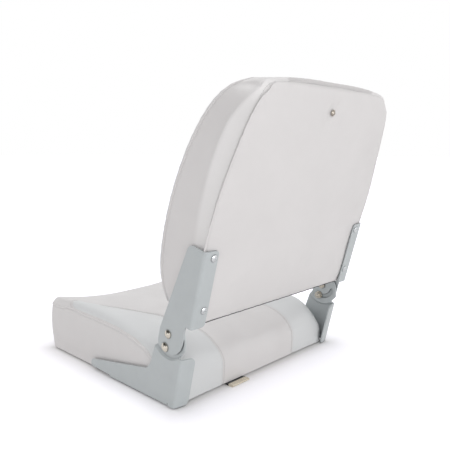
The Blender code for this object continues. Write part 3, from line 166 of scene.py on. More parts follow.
class Surface(Graph):
    """The node tree of one material with a Principled shader."""

    def __init__(self, name: str, values: dict[str, float]) -> None:
        """Make the material.

        Args:
            name: Its name.
            values: Values of the shader's sockets.
        """
        self.material = bpy.data.materials.new(name)
        self.material.use_nodes = True
        super().__init__(self.material.node_tree)
        self.shader = self.tree.nodes["Principled BSDF"]
        for socket, value in values.items():
            self.shader.inputs[socket].default_value = value
        self.place = self.add("TexCoord", "Object")

    def feed(self, socket: str, source: Source) -> None:
        """Link a source to one of the shader's sockets."""
        self.tree.links.new(source[0].outputs[source[1]], self.shader.inputs[socket])

    def stored(self, name: str) -> Source:
        """Values that are stored in the mesh."""
        return self.add("Attribute", "Fac", attribute_name=name)

    def noise(self, size: float, detail: float, roughness: float = 0.5, place: Source | None = None) -> Source:
        """Clouds of about one size.

        Args:
            size: Their size.
            detail: How many finer layers they have.
            roughness: How strong the finer layers are.
            place: The coordinates, if they aren't the object's own.

        Returns:
            The clouds' values.
        """
        inputs = {"Vector": place or self.place, "Scale": 1 / size, "Detail": detail, "Roughness": roughness}
        return self.add("TexNoise", "Fac", inputs)

    def wave(self, direction: str, pitch: float, distortion: float = 0.0, detail: float = 2.0) -> Source:
        """Bands along one direction.

        Args:
            direction: The direction that the bands follow one another in.
            pitch: The distance from band to band.
            distortion: How far they wander.
            detail: How finely they wander.

        Returns:
            The bands' values.
        """
        inputs = {"Vector": self.place, "Scale": math.tau / pitch / WAVE_TURN, "Distortion": distortion}
        return self.add("TexWave", "Fac", {**inputs, "Detail": detail}, bands_direction=direction)

    def glossed(self, noise: Source, gloss: Span) -> None:
        """Let the roughness follow a noise between two values."""
        self.feed("Roughness", self.ranged(noise, NOISE_SPAN, gloss))

    def embossed(self, height: Source, strength: float, distance: float, normal: Source | None = None) -> None:
        """Raise the surface.

        Args:
            height: What it is raised by.
            strength: How much of that is used.
            distance: The full height.
            normal: The normal that the relief stands on, if it isn't the mesh's own.
        """
        inputs = {"Strength": strength, "Distance": distance, "Height": height}
        self.feed("Normal", self.add("Bump", "Normal", {**inputs, "Normal": normal} if normal else inputs))


def add_object(name: str, mesh: bpy.types.Mesh, material: bpy.types.Material, body: Body) -> bpy.types.Object:
    """Put a mesh in the scene as one piece that rides on a body.

    Args:
        name: The piece's name.
        mesh: Its mesh, in the model's frame.
        material: Its finish.
        body: The body it moves with.

    Returns:
        The new object.
    """
    piece = bpy.data.objects.new(name, mesh)
    bpy.context.scene.collection.objects.link(piece)
    mesh.materials.clear()
    mesh.materials.append(material)
    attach(piece, body.value)
    LOG.info("%s: %d faces, rides on %s", name, len(mesh.polygons), body.value)
    return piece


def mesh_from(bm: bmesh.types.BMesh, name: str) -> bpy.types.Mesh:
    """Turn a bmesh into a mesh.

    Args:
        bm: The bmesh, which is freed.
        name: The mesh's name.

    Returns:
        The new mesh.
    """
    mesh = bpy.data.meshes.new(name)
    bm.to_mesh(mesh)
    bm.free()
    return mesh


def vectors(items: bpy.types.bpy_prop_collection, name: str) -> np.ndarray:
    """Read one vector of each item.

    Args:
        items: The mesh's vertices or its vertex normals.
        name: The vector's name.

    Returns:
        The vectors, one row each.
    """
    flat = np.empty(len(items) * 3, np.float32)
    items.foreach_get(name, flat)
    return flat.reshape(-1, 3).astype(float)


def coordinates(mesh: bpy.types.Mesh) -> np.ndarray:
    """The mesh's vertices, one row each."""
    return vectors(mesh.vertices, "co")


def set_coordinates(mesh: bpy.types.Mesh, points: np.ndarray) -> None:
    """Move the mesh's vertices to these places."""
    mesh.vertices.foreach_set("co", points.astype(np.float32).ravel())
    mesh.update()


def normals(mesh: bpy.types.Mesh) -> np.ndarray:
    """The mesh's vertex normals, one row each."""
    return vectors(mesh.vertex_normals, "vector")


def applied(mesh: bpy.types.Mesh, kind: str, settings: dict[str, object]) -> bpy.types.Mesh:
    """Run one modifier on a mesh.

    Args:
        mesh: The mesh that it starts from.
        kind: The modifier's type.
        settings: The modifier's properties.

    Returns:
        The mesh that the modifier makes.
    """
    guide = bpy.data.objects.new(f"{mesh.name}_guide", mesh)
    bpy.context.scene.collection.objects.link(guide)
    modifier = guide.modifiers.new(kind.lower(), kind)
    for name, value in settings.items():
        setattr(modifier, name, value)
    bpy.context.view_layer.update()
    made = bpy.data.meshes.new_from_object(guide.evaluated_get(bpy.context.evaluated_depsgraph_get()))
    made.name = mesh.name
    bpy.data.objects.remove(guide)
    return made


def in_frame(points: Iterable[Sequence[float]], frame: Matrix) -> np.ndarray:
    """The points as they lie in a frame, one row each."""
    inverse = frame.inverted()
    return np.array([tuple(inverse @ Vector(point)) for point in points])


def store(mesh: bpy.types.Mesh, name: str, values: np.ndarray) -> None:
    """Store one value for each vertex, for the materials."""
    mesh.attributes.new(name, "FLOAT", "POINT").data.foreach_set("value", values.astype(np.float32))


def skinned(bm: bmesh.types.BMesh, rings: Sequence[Sequence[bmesh.types.BMVert]]) -> None:
    """Join rings of vertices to a closed tube.

    Args:
        bm: The mesh that the faces are added to.
        rings: The rings, all with the same number of vertices.
    """
    for first, second in zip(rings, rings[1:]):
        for side in range(len(first)):
            after = (side + 1) % len(first)
            bm.faces.new((first[side], second[side], second[after], first[after]))
    bm.faces.new(list(reversed(rings[0])))
    bm.faces.new(rings[-1])


def ring_at(
    bm: bmesh.types.BMesh, centre: Vector, across: Vector, up: Vector, sides: int
) -> list[bmesh.types.BMVert]:
    """Add an even ring of vertices.

    Args:
        bm: The mesh that they are added to.
        centre: The ring's centre.
        across: Its first half axis.
        up: Its second half axis.
        sides: How many vertices it has.

    Returns:
        The vertices, in order.
    """
    angles = [math.tau * side / sides for side in range(sides)]
    return [bm.verts.new(centre + across * math.cos(angle) + up * math.sin(angle)) for angle in angles]


def tree_of(mesh: bpy.types.Mesh) -> BVHTree:
    """A search tree of the mesh's faces."""
    faces = [tuple(face.vertices) for face in mesh.polygons]
    return BVHTree.FromPolygons([vert.co for vert in mesh.vertices], faces)


def resampled(points: Sequence[Vector], step: float) -> list[Vector]:
    """Points at an even step along a smooth line through the given ones.

    Args:
        points: The points that the line passes through.
        step: The distance between the new points.

    Returns:
        The new points, both ends included.
    """
    given = np.array([tuple(point) for point in points], float)
    padded = np.vstack([2 * given[0] - given[1], given, 2 * given[-1] - given[-2]])
    fine = []
    shares = np.linspace(0, 1, 24, endpoint=False)[:, None]
    for start in range(1, len(padded) - 2):
        a, b, c, d = padded[start - 1 : start + 3]
        bend = (2 * b, c - a, 2 * a - 5 * b + 4 * c - d, 3 * b - a - 3 * c + d)
        fine.append((bend[0] + bend[1] * shares + bend[2] * shares**2 + bend[3] * shares**3) / 2)
    line = np.vstack([*fine, given[-1:]])
    lengths = np.concatenate([[0], np.cumsum(np.linalg.norm(np.diff(line, axis=0), axis=1))])
    marks = np.linspace(0, lengths[-1], max(2, round(lengths[-1] / step)))
    return [Vector(tuple(np.interp(mark, lengths, line[:, axis]) for axis in range(3))) for mark in marks]


def near_lines(points: np.ndarray, lines: Sequence[Sequence[Vector]]) -> tuple[np.ndarray, np.ndarray]:
    """How far each point is from the nearest of several lines, and where along it.

    Args:
        points: The points, one row each.
        lines: The lines' points, close together and evenly spaced.

    Returns:
        The distance to the nearest line point, and that line point's running number.
    """
    tree = KDTree(sum(len(line) for line in lines))
    number = 0
    for line in lines:
        for place in line:
            tree.insert(place, number)
            number += 1
    tree.balance()
    found = [tree.find(point) for point in points]
    return np.array([item[2] for item in found]), np.array([item[1] for item in found])


def waves(numbers: np.ndarray, pitch: float) -> np.ndarray:
    """Uneven waves along a line, from three sines that don't keep step.

    Args:
        numbers: Running numbers of points along the line.
        pitch: The main wave's length, in points.

    Returns:
        Values of about -1 to 1.
    """
    turned = numbers * math.tau / pitch
    return 0.5 * np.sin(turned) + 0.3 * np.sin(turned * 0.63 + 1.7) + 0.2 * np.sin(turned * 1.9)


# Finishes


@dataclass(frozen=True)
class MarineVinyl:
    """PVC-coated marine vinyl, embossed by a roller.

    The roller leaves a fine pebbled grain on a satin surface; sunlight and hands leave it a little uneven.
    Beside the seams and along the back's top the colour is painted darker, as shade with some dust beside the
    seams, and the boxing between the foam's ridge and the rear seam is painted paler, as a highlight.
    """

    warm: str = "#DDDBDB"
    cool: str = "#DBDDDE"
    shade: str = "#BDBBBB"
    painted_highlight_colour: str = "#ECEBEB"
    # The pebbles are about twice as coarse as real ones, which would be too fine to show
    grain: float = 1.5 * MM
    grain_height: float = 0.09 * MM
    grain_strength: float = 0.5
    grain_rounding: float = 0.22
    mottle: float = 70 * MM
    mottled: Span = (0.35, 0.75)
    mottle_share: float = 0.10
    dust_and_shade: float = 0.35
    gloss: Span = (0.34, 0.44)
    edge: float = 0.25 * MM

    def material(self) -> bpy.types.Material:
        """Build the finish from the mesh's "cool_side", "seam_shade" and "paled" values.

        Returns:
            The material.
        """
        surface = Surface("embossed_marine_vinyl", {"IOR": 1.52, "Coat Weight": 0.1, "Coat Roughness": 0.3})
        cool = surface.ranged(surface.stored("cool_side"), (-self.edge, self.edge))
        patches = surface.noise(self.mottle, 3.0, 0.6)
        colour = surface.mixed(cool, self.warm, self.cool)
        mottle = surface.ranged(patches, self.mottled, (0, self.mottle_share))
        colour = surface.mixed(mottle, colour, self.shade)
        # Painted shade, with some dust, beside the seams and wherever shaded() asks: the colour goes towards the
        # shade colour
        seam_dust_and_shade_mix = surface.math("MULTIPLY", surface.stored("seam_shade"), self.dust_and_shade)
        colour = surface.mixed(seam_dust_and_shade_mix, colour, self.shade)
        # A painted highlight: the colour goes paler where the mesh's highlight value asks
        surface.feed("Base Color", surface.mixed(surface.stored("painted_highlight"), colour, self.painted_highlight_colour))
        surface.glossed(patches, self.gloss)
        pebbles = {"Vector": surface.place, "Scale": 1 / self.grain, "Randomness": 1.0}
        pebbled = surface.add("TexVoronoi", "Distance", pebbles, feature="DISTANCE_TO_EDGE")
        grain = surface.ranged(pebbled, (0, self.grain_rounding), smooth=True)
        surface.embossed(grain, self.grain_strength, self.grain_height)
        return surface.material


@dataclass(frozen=True)
class PowderCoat:
    """Pressed steel, powder coated and baked.

    Baking leaves a slight orange peel and a soft gloss; the coat is thin and paler on the sheared edges, and
    round the fasteners and where the plates overlap it is painted darker, as shade in the crevices.
    """

    coat: str = "#BDC3C5"
    worn: str = "#D3D7D8"
    dull: str = "#AFB5B7"
    crevice_shade: str = "#3E4446"
    crevice: float = 3.5 * MM
    enclosed: Span = (0.92, 0.5)
    crevice_shade_share: float = 0.8
    cloud: float = 28 * MM
    clouded: Span = (0.4, 0.8)
    cloud_share: float = 0.3
    # How well the eased normal agrees with the face's, from where the wear starts to where it is full
    rounded: Span = (0.985, 0.86)
    wear_share: float = 0.6
    peel: float = 2.2 * MM
    peel_height: float = 0.03 * MM
    gloss: Span = (0.34, 0.46)
    edge: float = 0.5 * MM

    def material(self) -> bpy.types.Material:
        """Build the finish.

        Returns:
            The material.
        """
        surface = Surface("powder_coated_steel", {"IOR": 1.5, "Coat Weight": 0.4, "Coat Roughness": 0.22})
        eased = surface.add("Bevel", "Normal", {"Radius": self.edge}, samples=4)
        face = surface.add("NewGeometry", "Normal")
        turned = surface.add("VectorMath", "Value", {0: eased, 1: face}, operation="DOT_PRODUCT")
        clouds = surface.noise(self.cloud, 4.0, 0.6)
        dulled = surface.ranged(clouds, self.clouded, (0, self.cloud_share))
        colour = surface.mixed(dulled, self.coat, self.dull)
        colour = surface.mixed(surface.ranged(turned, self.rounded, (0, self.wear_share)), colour, self.worn)
        # Painted shade in the crevices round the fasteners and where the plates overlap
        open_air = surface.add("AmbientOcclusion", "AO", {"Distance": self.crevice}, samples=8)
        crevice_shade_mix = surface.ranged(open_air, self.enclosed, (0, self.crevice_shade_share))
        surface.feed("Base Color", surface.mixed(crevice_shade_mix, colour, self.crevice_shade))
        surface.glossed(clouds, self.gloss)
        surface.embossed(surface.noise(self.peel, 1.0), 0.5, self.peel_height, eased)
        return surface.material


@dataclass(frozen=True)
class TurnedMetal:
    """Metal fasteners, headed or turned, then plated or passivated.

    The tool leaves faint rings and the wrench fine scratches, and the rims are eased.
    """

    name: str
    metal: str
    tarnish: str
    roughness: float
    stain: float = 3 * MM
    scratch: float = 0.5 * MM
    scratch_depth: float = 0.02 * MM
    stretch: tuple[float, float, float] = (1.0, 0.15, 1.0)
    edge: float = 0.25 * MM

    def material(self) -> bpy.types.Material:
        """Build the finish.

        Returns:
            The material.
        """
        surface = Surface(self.name, {"Metallic": 1.0})
        eased = surface.add("Bevel", "Normal", {"Radius": self.edge}, samples=4)
        stains = surface.noise(self.stain, 4.0)
        surface.feed("Base Color", surface.mixed(stains, self.metal, self.tarnish))
        surface.glossed(stains, (self.roughness * 0.8, self.roughness * 1.3))
        drawn = surface.add("Mapping", "Vector", {"Vector": surface.place, "Scale": self.stretch})
        scratches = surface.noise(self.scratch, 2.0, place=drawn)
        surface.embossed(scratches, 0.25, self.scratch_depth, eased)
        return surface.material


@dataclass(frozen=True)
class MouldedPlastic:
    """Moulded or pressed polymer from a spark-eroded tool, which leaves a dull, finely pitted skin."""

    name: str
    body: str
    speck: str
    roughness: float
    texture: float = 0.9 * MM
    height: float = 0.05 * MM

    def material(self) -> bpy.types.Material:
        """Build the finish.

        Returns:
            The material.
        """
        surface = Surface(self.name, {"IOR": 1.49})
        texture = surface.noise(self.texture, 3.0, 0.6)
        surface.feed("Base Color", surface.mixed(texture, self.body, self.speck))
        surface.glossed(texture, (self.roughness * 0.9, self.roughness * 1.15))
        surface.embossed(texture, 0.6, self.height)
        return surface.material


@dataclass(frozen=True)
class WovenWebbing:
    """Polypropylene webbing, woven flat, with a cream ribbed end; short of the end it is painted black, as the
    deep shadow under the seat.

    The picks show as ribs across the strap, one every 1.5 mm, and the warp as fine cords along it.
    """

    shadowed_yarn: str = "#262628"
    shade: str = "#101012"
    end: str = "#FFF7E6"
    end_shade: str = "#A99C85"
    pick: float = 1.5 * MM
    # Real cords are about 1.1 mm apart, too fine to show, so they are drawn coarser
    cord: float = 1.8 * MM
    relief: float = 0.3 * MM
    end_from: float = 0.1945
    end_edge: float = 0.4 * MM

    def material(self) -> bpy.types.Material:
        """Build the finish.

        Returns:
            The material.
        """
        surface = Surface("woven_webbing", {"Roughness": 0.78, "IOR": 1.49, "Sheen Weight": 0.15})
        ribs = surface.wave("Y", self.pick, 0.6, 1.0)
        cords = surface.wave("X", self.cord, 0.4)
        weave = surface.math("MULTIPLY", ribs, cords)
        along = surface.add("SeparateXYZ", "Y", {"Vector": surface.place})
        hem = surface.ranged(along, (self.end_from, self.end_from + self.end_edge))
        # Short of the cream end the strap is painted black: painted shadow under the seat
        dark = surface.mixed(weave, self.shade, self.shadowed_yarn)
        surface.feed("Base Color", surface.mixed(hem, dark, surface.mixed(cords, self.end_shade, self.end)))
        surface.embossed(weave, 0.8, self.relief)
        return surface.material


@dataclass(frozen=True)
class TwistedThread:
    """Bonded polyester thread, three plies twisted, which gives it fine slanting ribs and a low sheen."""

    body: str = "#D6D5D5"
    shade: str = "#A9A8A8"
    twist: float = 0.6 * MM
    relief: float = 0.08 * MM

    def material(self) -> bpy.types.Material:
        """Build the finish.

        Returns:
            The material.
        """
        surface = Surface("bonded_polyester_thread", {"Roughness": 0.55, "IOR": 1.54, "Sheen Weight": 0.1})
        plies = surface.wave("DIAGONAL", self.twist)
        surface.feed("Base Color", surface.mixed(plies, self.shade, self.body))
        surface.embossed(plies, 1.0, self.relief)
        return surface.material


Made = MarineVinyl | PowderCoat | TurnedMetal | MouldedPlastic | WovenWebbing | TwistedThread


def made_by(finish: Made) -> field:
    """A field whose value is the finish's material, made with the object."""
    return field(default_factory=finish.material)


@dataclass
class Finishes:
    """Every finish of the seat, made once."""

    vinyl: bpy.types.Material = made_by(MarineVinyl())
    coat: bpy.types.Material = made_by(PowderCoat())
    stainless: bpy.types.Material = made_by(TurnedMetal("turned_stainless", "#EFEAE0", "#D2CABC", 0.15))
    zinc: bpy.types.Material = made_by(TurnedMetal("bright_zinc_plate", "#F4F6F8", "#C9CED1", 0.16))
    nickel: bpy.types.Material = made_by(TurnedMetal("worn_nickel", "#E6DED2", "#4C433B", 0.18))
    nylon: bpy.types.Material = made_by(
        MouldedPlastic("moulded_nylon", "#EDEDE8", "#DAD9D2", 0.45, height=0.02 * MM)
    )
    pan: bpy.types.Material = made_by(MouldedPlastic("moulded_polypropylene", "#1C1D1F", "#2B2C2F", 0.55))
    board: bpy.types.Material = made_by(
        MouldedPlastic("pressed_board", "#3A3632", "#55504A", 0.7, texture=2.5 * MM)
    )
    foam: bpy.types.Material = made_by(
        MouldedPlastic("urethane_foam", "#E6DDB4", "#C9BE8E", 0.95, 2 * MM, 0.4 * MM)
    )
    # Black, for the strip of painted shade under the back
    shadow_strip: bpy.types.Material = made_by(MouldedPlastic("painted_shadow_strip", "#202022", "#343437", 0.6))
    webbing: bpy.types.Material = made_by(WovenWebbing())
    thread: bpy.types.Material = made_by(TwistedThread())


# Upholstery


@dataclass
class Cage:
    """A box of quads in shares, x and y from -1 to 1, whose walls go down by whole levels.

    The cage is moved until its smoothed surface passes through the places that are asked for.
    """

    columns: int
    rows: int
    levels: int
    place: Place
    corner_share: float = 0.25
    passes: int = 8

    def build(self, name: str, creases: dict[int, float], closed: bool) -> bpy.types.Mesh:
        """Build the cage and fit it.

        Args:
            name: The mesh's name.
            creases: How sharp the rings of edges are held, by level.
            closed: Whether the last ring is filled with a face.

        Returns:
            The fitted cage.
        """
        bm = bmesh.new()
        layer = bm.edges.layers.float.new("crease_edge")
        bmesh.ops.create_grid(bm, x_segments=self.columns, y_segments=self.rows, size=1)
        for level in range(1, self.levels + 1):
            rim = [edge for edge in bm.edges if edge.is_boundary]
            for item in bmesh.ops.extrude_edge_only(bm, edges=rim)["geom"]:
                if isinstance(item, bmesh.types.BMVert):
                    item.co.z = -level
        if closed:
            bmesh.ops.contextual_create(bm, geom=[edge for edge in bm.edges if edge.is_boundary])
        for edge in bm.edges:
            rings = {round(-vert.co.z) for vert in edge.verts}
            if len(rings) == 1:
                edge[layer] = creases.get(rings.pop(), 0.0)
        wanted, strengths = [], []
        for vert in bm.verts:
            across, along, below = vert.co
            strengths.append(self.corner_share if abs(across * along) > 0.999 else 1.0)
            wanted.append(self.place(across, along, round(-below)))
        targets = np.array(wanted)
        for vert, target in zip(bm.verts, targets):
            vert.co = target
        bmesh.ops.recalc_face_normals(bm, faces=bm.faces)
        if bm.calc_volume(signed=True) < 0:
            bmesh.ops.reverse_faces(bm, faces=bm.faces)
        mesh = mesh_from(bm, name)
        share = np.array(strengths)[:, None]
        for _ in range(self.passes):
            smooth = applied(mesh, "SUBSURF", {"levels": 3})
            reached = coordinates(smooth)[: len(targets)]
            bpy.data.meshes.remove(smooth)
            set_coordinates(mesh, coordinates(mesh) + (targets - reached) * share)
        return mesh


# How the vinyl behaves while it is puffed: light, stiff in its plane and pinned by the weights of one group
CLOTH = {
    "quality": 6,
    "mass": 0.3,
    "tension_stiffness": 25,
    "compression_stiffness": 25,
    "bending_stiffness": 2.0,
    "use_pressure": True,
    "vertex_group_mass": "held",
}


def puffed(mesh: bpy.types.Mesh, held: np.ndarray, pressure: float, cap: float, frames: int = 20) -> None:
    """Inflate a cover as cloth that is held along its seams.

    Args:
        mesh: The cover, which is changed.
        held: How firmly each vertex is held, from 0 to 1.
        pressure: The air pressure inside.
        cap: The furthest that a point may move.
        frames: The frames that the cloth is run for.
    """
    scene = bpy.context.scene
    before = coordinates(mesh)
    guide = bpy.data.objects.new(f"{mesh.name}_cloth", mesh)
    scene.collection.objects.link(guide)
    group = guide.vertex_groups.new(name=CLOTH["vertex_group_mass"])
    for index, weight in enumerate(held):
        group.add([index], float(weight), "REPLACE")
    cloth = guide.modifiers.new("cloth", "CLOTH")
    for setting, value in CLOTH.items():
        setattr(cloth.settings, setting, value)
    cloth.settings.uniform_pressure_force = pressure
    cloth.settings.effector_weights.gravity = 0
    cloth.point_cache.frame_start = 1
    cloth.point_cache.frame_end = frames
    for frame in range(1, frames + 1):
        scene.frame_set(frame)
    graph = bpy.context.evaluated_depsgraph_get()
    blown = bpy.data.meshes.new_from_object(guide.evaluated_get(graph))
    moved = coordinates(blown) - before
    bpy.data.meshes.remove(blown)
    bpy.data.objects.remove(guide)
    scene.frame_set(1)
    reach = np.linalg.norm(moved, axis=1, keepdims=True) + 1e-9
    LOG.info("%s: cloth moved %.1f mm before the cap", mesh.name, reach.max() / MM)
    set_coordinates(mesh, before + moved / reach * cap * np.tanh(reach / cap))


class Finish(Enum):
    """How a seam is finished: its turned edge's width and height, and the side its stitches lie on."""

    TOPSTITCHED = (1.6 * MM, 0.55 * MM, 1)
    TOPSTITCHED_OTHER = (1.6 * MM, 0.55 * MM, -1)
    ROLLED = (4.8 * MM, 1.6 * MM, 0)
    # The dark strip of painted shade under the back
    SHADOW_STRIP = (1.8 * MM, 0.8 * MM, 0)


@dataclass
class Seam:
    """One sewn seam: a line on the cover, with a turned edge that stands proud and a row of stitches."""

    name: str
    guide: list[Vector]
    finish: Finish = Finish.TOPSTITCHED
    depth: float = 1.0
    step: float = 2 * MM
    stitch_offset: float = 3.2 * MM
    stitch_pitch: float = 4.2 * MM
    stitch_length: float = 3.0 * MM
    stitch_radius: float = 0.34 * MM
    stitch_sides: int = 6
    ridge_sides: int = 10
    # A stitch from end to end: how far along, in shares of half its length, how high and how thick, in shares of
    # its radius
    stitch_form: Table = ((-1, -0.5, 0.5), (-0.8, 0.15, 1), (0, 0.6, 1), (0.8, 0.15, 1), (1, -0.5, 0.5))

    def line(self, cover: BVHTree) -> list[tuple[Vector, Vector, Vector]]:
        """Lay the guide on a cover.

        Args:
            cover: The cover's search tree.

        Returns:
            For each point its place, the cover's normal there and the direction along the seam.
        """
        found = [cover.find_nearest(point)[:2] for point in resampled(self.guide, self.step)]
        places = [place for place, _ in found]
        for _ in range(3):
            eased = [(a + b * 2 + c) / 4 for a, b, c in zip(places, places[1:], places[2:])]
            places = [places[0], *eased, places[-1]]
        found = [cover.find_nearest(place)[:2] for place in places]
        laid = []
        for index, (place, normal) in enumerate(found):
            ahead = found[min(index + 1, len(found) - 1)][0] - found[max(index - 1, 0)][0]
            laid.append((place, normal, ahead.normalized()))
        return laid

    def ridge(self, cover: BVHTree) -> bpy.types.Mesh:
        """The turned edge as a flattened tube that lies half in the cover.

        Args:
            cover: The cover's search tree.

        Returns:
            The ridge's mesh.
        """
        bm = bmesh.new()
        width, height, _ = self.finish.value
        rings = []
        for place, normal, ahead in self.line(cover):
            across = ahead.cross(normal).normalized()
            rings.append(ring_at(bm, place, across * width / 2, normal * height, self.ridge_sides))
        skinned(bm, rings)
        bmesh.ops.recalc_face_normals(bm, faces=bm.faces)
        mesh = mesh_from(bm, self.name)
        mesh.shade_smooth()
        return mesh

    def stitches(self, cover: BVHTree, bm: bmesh.types.BMesh) -> int:
        """Sew a row of stitches beside the seam.

        Args:
            cover: The cover's search tree.
            bm: The mesh that the stitches are added to.

        Returns:
            How many stitches were sewn.
        """
        side_of = self.finish.value[2]
        if not side_of:
            return 0
        laid = self.line(cover)
        stride = max(1, round(self.stitch_pitch / self.step))
        count = 0
        for index in range(stride, len(laid) - stride, stride):
            place, normal, ahead = laid[index]
            across = ahead.cross(normal).normalized()
            middle, up = cover.find_nearest(place + across * self.stitch_offset * side_of)[:2]
            half, radius = self.stitch_length / 2, self.stitch_radius
            rings = []
            for share, lift, size in self.stitch_form:
                centre = middle + ahead * half * share + up * radius * lift
                thick = radius * size
                rings.append(ring_at(bm, centre, across * thick, up * thick, self.stitch_sides))
            skinned(bm, rings)
            count += 1
        return count


@dataclass
class Cushion:
    """One padded cover: its form, its seams and its two vinyls. The two cushions below give the sizes."""

    finishes: Finishes
    level: int = 3
    tuck: float = 1.6 * MM
    puff_pressure: float = 3.5
    puff_cap: float = 4.0 * MM
    valley_depth: float = 1.2 * MM
    valley_width: float = 4.5 * MM
    pucker_depth: float = 0.35 * MM
    pucker_pitch: float = 8.0
    seam_hold: float = 5 * MM
    # How far the painted shade and dust spread beside a seam
    seam_dust_and_shade: float = 2.4 * MM

    def seams(self) -> list[Seam]:
        """The cover's seams."""
        raise NotImplementedError

    def laid(self, mesh: bpy.types.Mesh) -> list[list[Vector]]:
        """The lines of the seams on a cover."""
        cover = tree_of(mesh)
        return [[place for place, _, _ in seam.line(cover)] for seam in self.seams()]

    def cool_side(self, points: np.ndarray) -> np.ndarray:
        """How far each point lies inside the cooler grey panels; negative outside them."""
        raise NotImplementedError

    def shaded(self, points: np.ndarray) -> np.ndarray:
        """How much painted shade each point gets besides what lies along the seams."""
        return np.zeros(len(points))

    def painted_highlight(self, points: np.ndarray) -> np.ndarray:
        """How much painted highlight each point gets."""
        return np.zeros(len(points))

    def sewn(self, form: bpy.types.Mesh, held: Callable[[np.ndarray], np.ndarray]) -> bpy.types.Mesh:
        """Smooth a cage, puff it between its seams and draw it in along them.

        Args:
            form: The fitted cage.
            held: Gives how firmly each point is held by what is under it.

        Returns:
            The cover's mesh.
        """
        mesh = applied(form, "SUBSURF", {"levels": self.level})
        points = coordinates(mesh)
        nearest, _ = near_lines(points, self.laid(mesh))
        firm = np.maximum(held(points), np.exp(-((nearest / self.seam_hold) ** 2)))
        set_coordinates(mesh, points - normals(mesh) * self.tuck * (1 - firm)[:, None])
        puffed(mesh, firm, self.puff_pressure, self.puff_cap)
        mesh = applied(mesh, "SUBSURF", {"levels": 1})
        points = coordinates(mesh)
        lines = self.laid(mesh)
        nearest, numbers = near_lines(points, lines)
        depths = np.concatenate([np.full(len(line), seam.depth) for line, seam in zip(lines, self.seams())])
        dip = self.valley_depth * depths[numbers] * np.exp(-((nearest / self.valley_width) ** 2))
        pucker = self.pucker_depth * np.exp(-(((nearest - self.valley_width) / (2 * self.valley_width)) ** 2))
        dip += pucker * waves(numbers, self.pucker_pitch)
        set_coordinates(mesh, points - normals(mesh) * dip[:, None])
        return mesh

    def painted(self, mesh: bpy.types.Mesh) -> None:
        """Store where the cooler vinyl, the painted shade and dust and the painted highlight are, for the
        material.

        Args:
            mesh: The finished cover.
        """
        points = coordinates(mesh)
        nearest, _ = near_lines(points, self.laid(mesh))
        store(mesh, "cool_side", self.cool_side(points))
        # Painted shade and dust along the seams, and the painted shade that shaded() gives
        store(mesh, "seam_shade", np.maximum(np.exp(-((nearest / self.seam_dust_and_shade) ** 2)), self.shaded(points)))
        # A painted highlight on the back's boxing
        store(mesh, "painted_highlight", self.painted_highlight(points))
        mesh.shade_smooth()

    def sew(self, mesh: bpy.types.Mesh, prefix: str, body: Body) -> None:
        """Add the seams' turned edges and the stitches as pieces.

        Args:
            mesh: The finished cover.
            prefix: The start of the pieces' names.
            body: The body they ride on.
        """
        cover = tree_of(mesh)
        threads = bmesh.new()
        count = 0
        for seam in self.seams():
            edge = seam.ridge(cover)
            store(edge, "cool_side", np.full(len(edge.vertices), -1.0))
            add_object(seam.name, edge, self.finishes.vinyl, body)
            count += seam.stitches(cover, threads)
        LOG.info("%s: %d stitches", prefix, count)
        sewn = mesh_from(threads, f"{prefix}_stitches")
        sewn.shade_smooth()
        add_object(f"{prefix}_stitches", sewn, self.finishes.thread, body)


def signed_to_outline(points: np.ndarray, outline: Sequence[tuple[float, float]]) -> np.ndarray:
    """How far plan points lie inside a closed outline; negative outside.

    Args:
        points: The points, two columns.
        outline: The outline's corners.

    Returns:
        One signed distance for each point.
    """
    corners = np.array(outline, float)
    best = np.full(len(points), np.inf)
    inside = np.zeros(len(points), bool)
    for start, end in zip(corners, np.roll(corners, -1, axis=0)):
        run = end - start
        share = np.clip(((points - start) @ run) / (run @ run), 0, 1)
        best = np.minimum(best, np.linalg.norm(points - start - share[:, None] * run, axis=1))
        crosses = (start[1] > points[:, 1]) != (end[1] > points[:, 1])
        rise = end[1] - start[1] if end[1] != start[1] else 1e-12
        at = start[0] + (points[:, 1] - start[1]) * run[0] / rise
        inside ^= crosses & (points[:, 0] < at)
    return np.where(inside, best, -best)


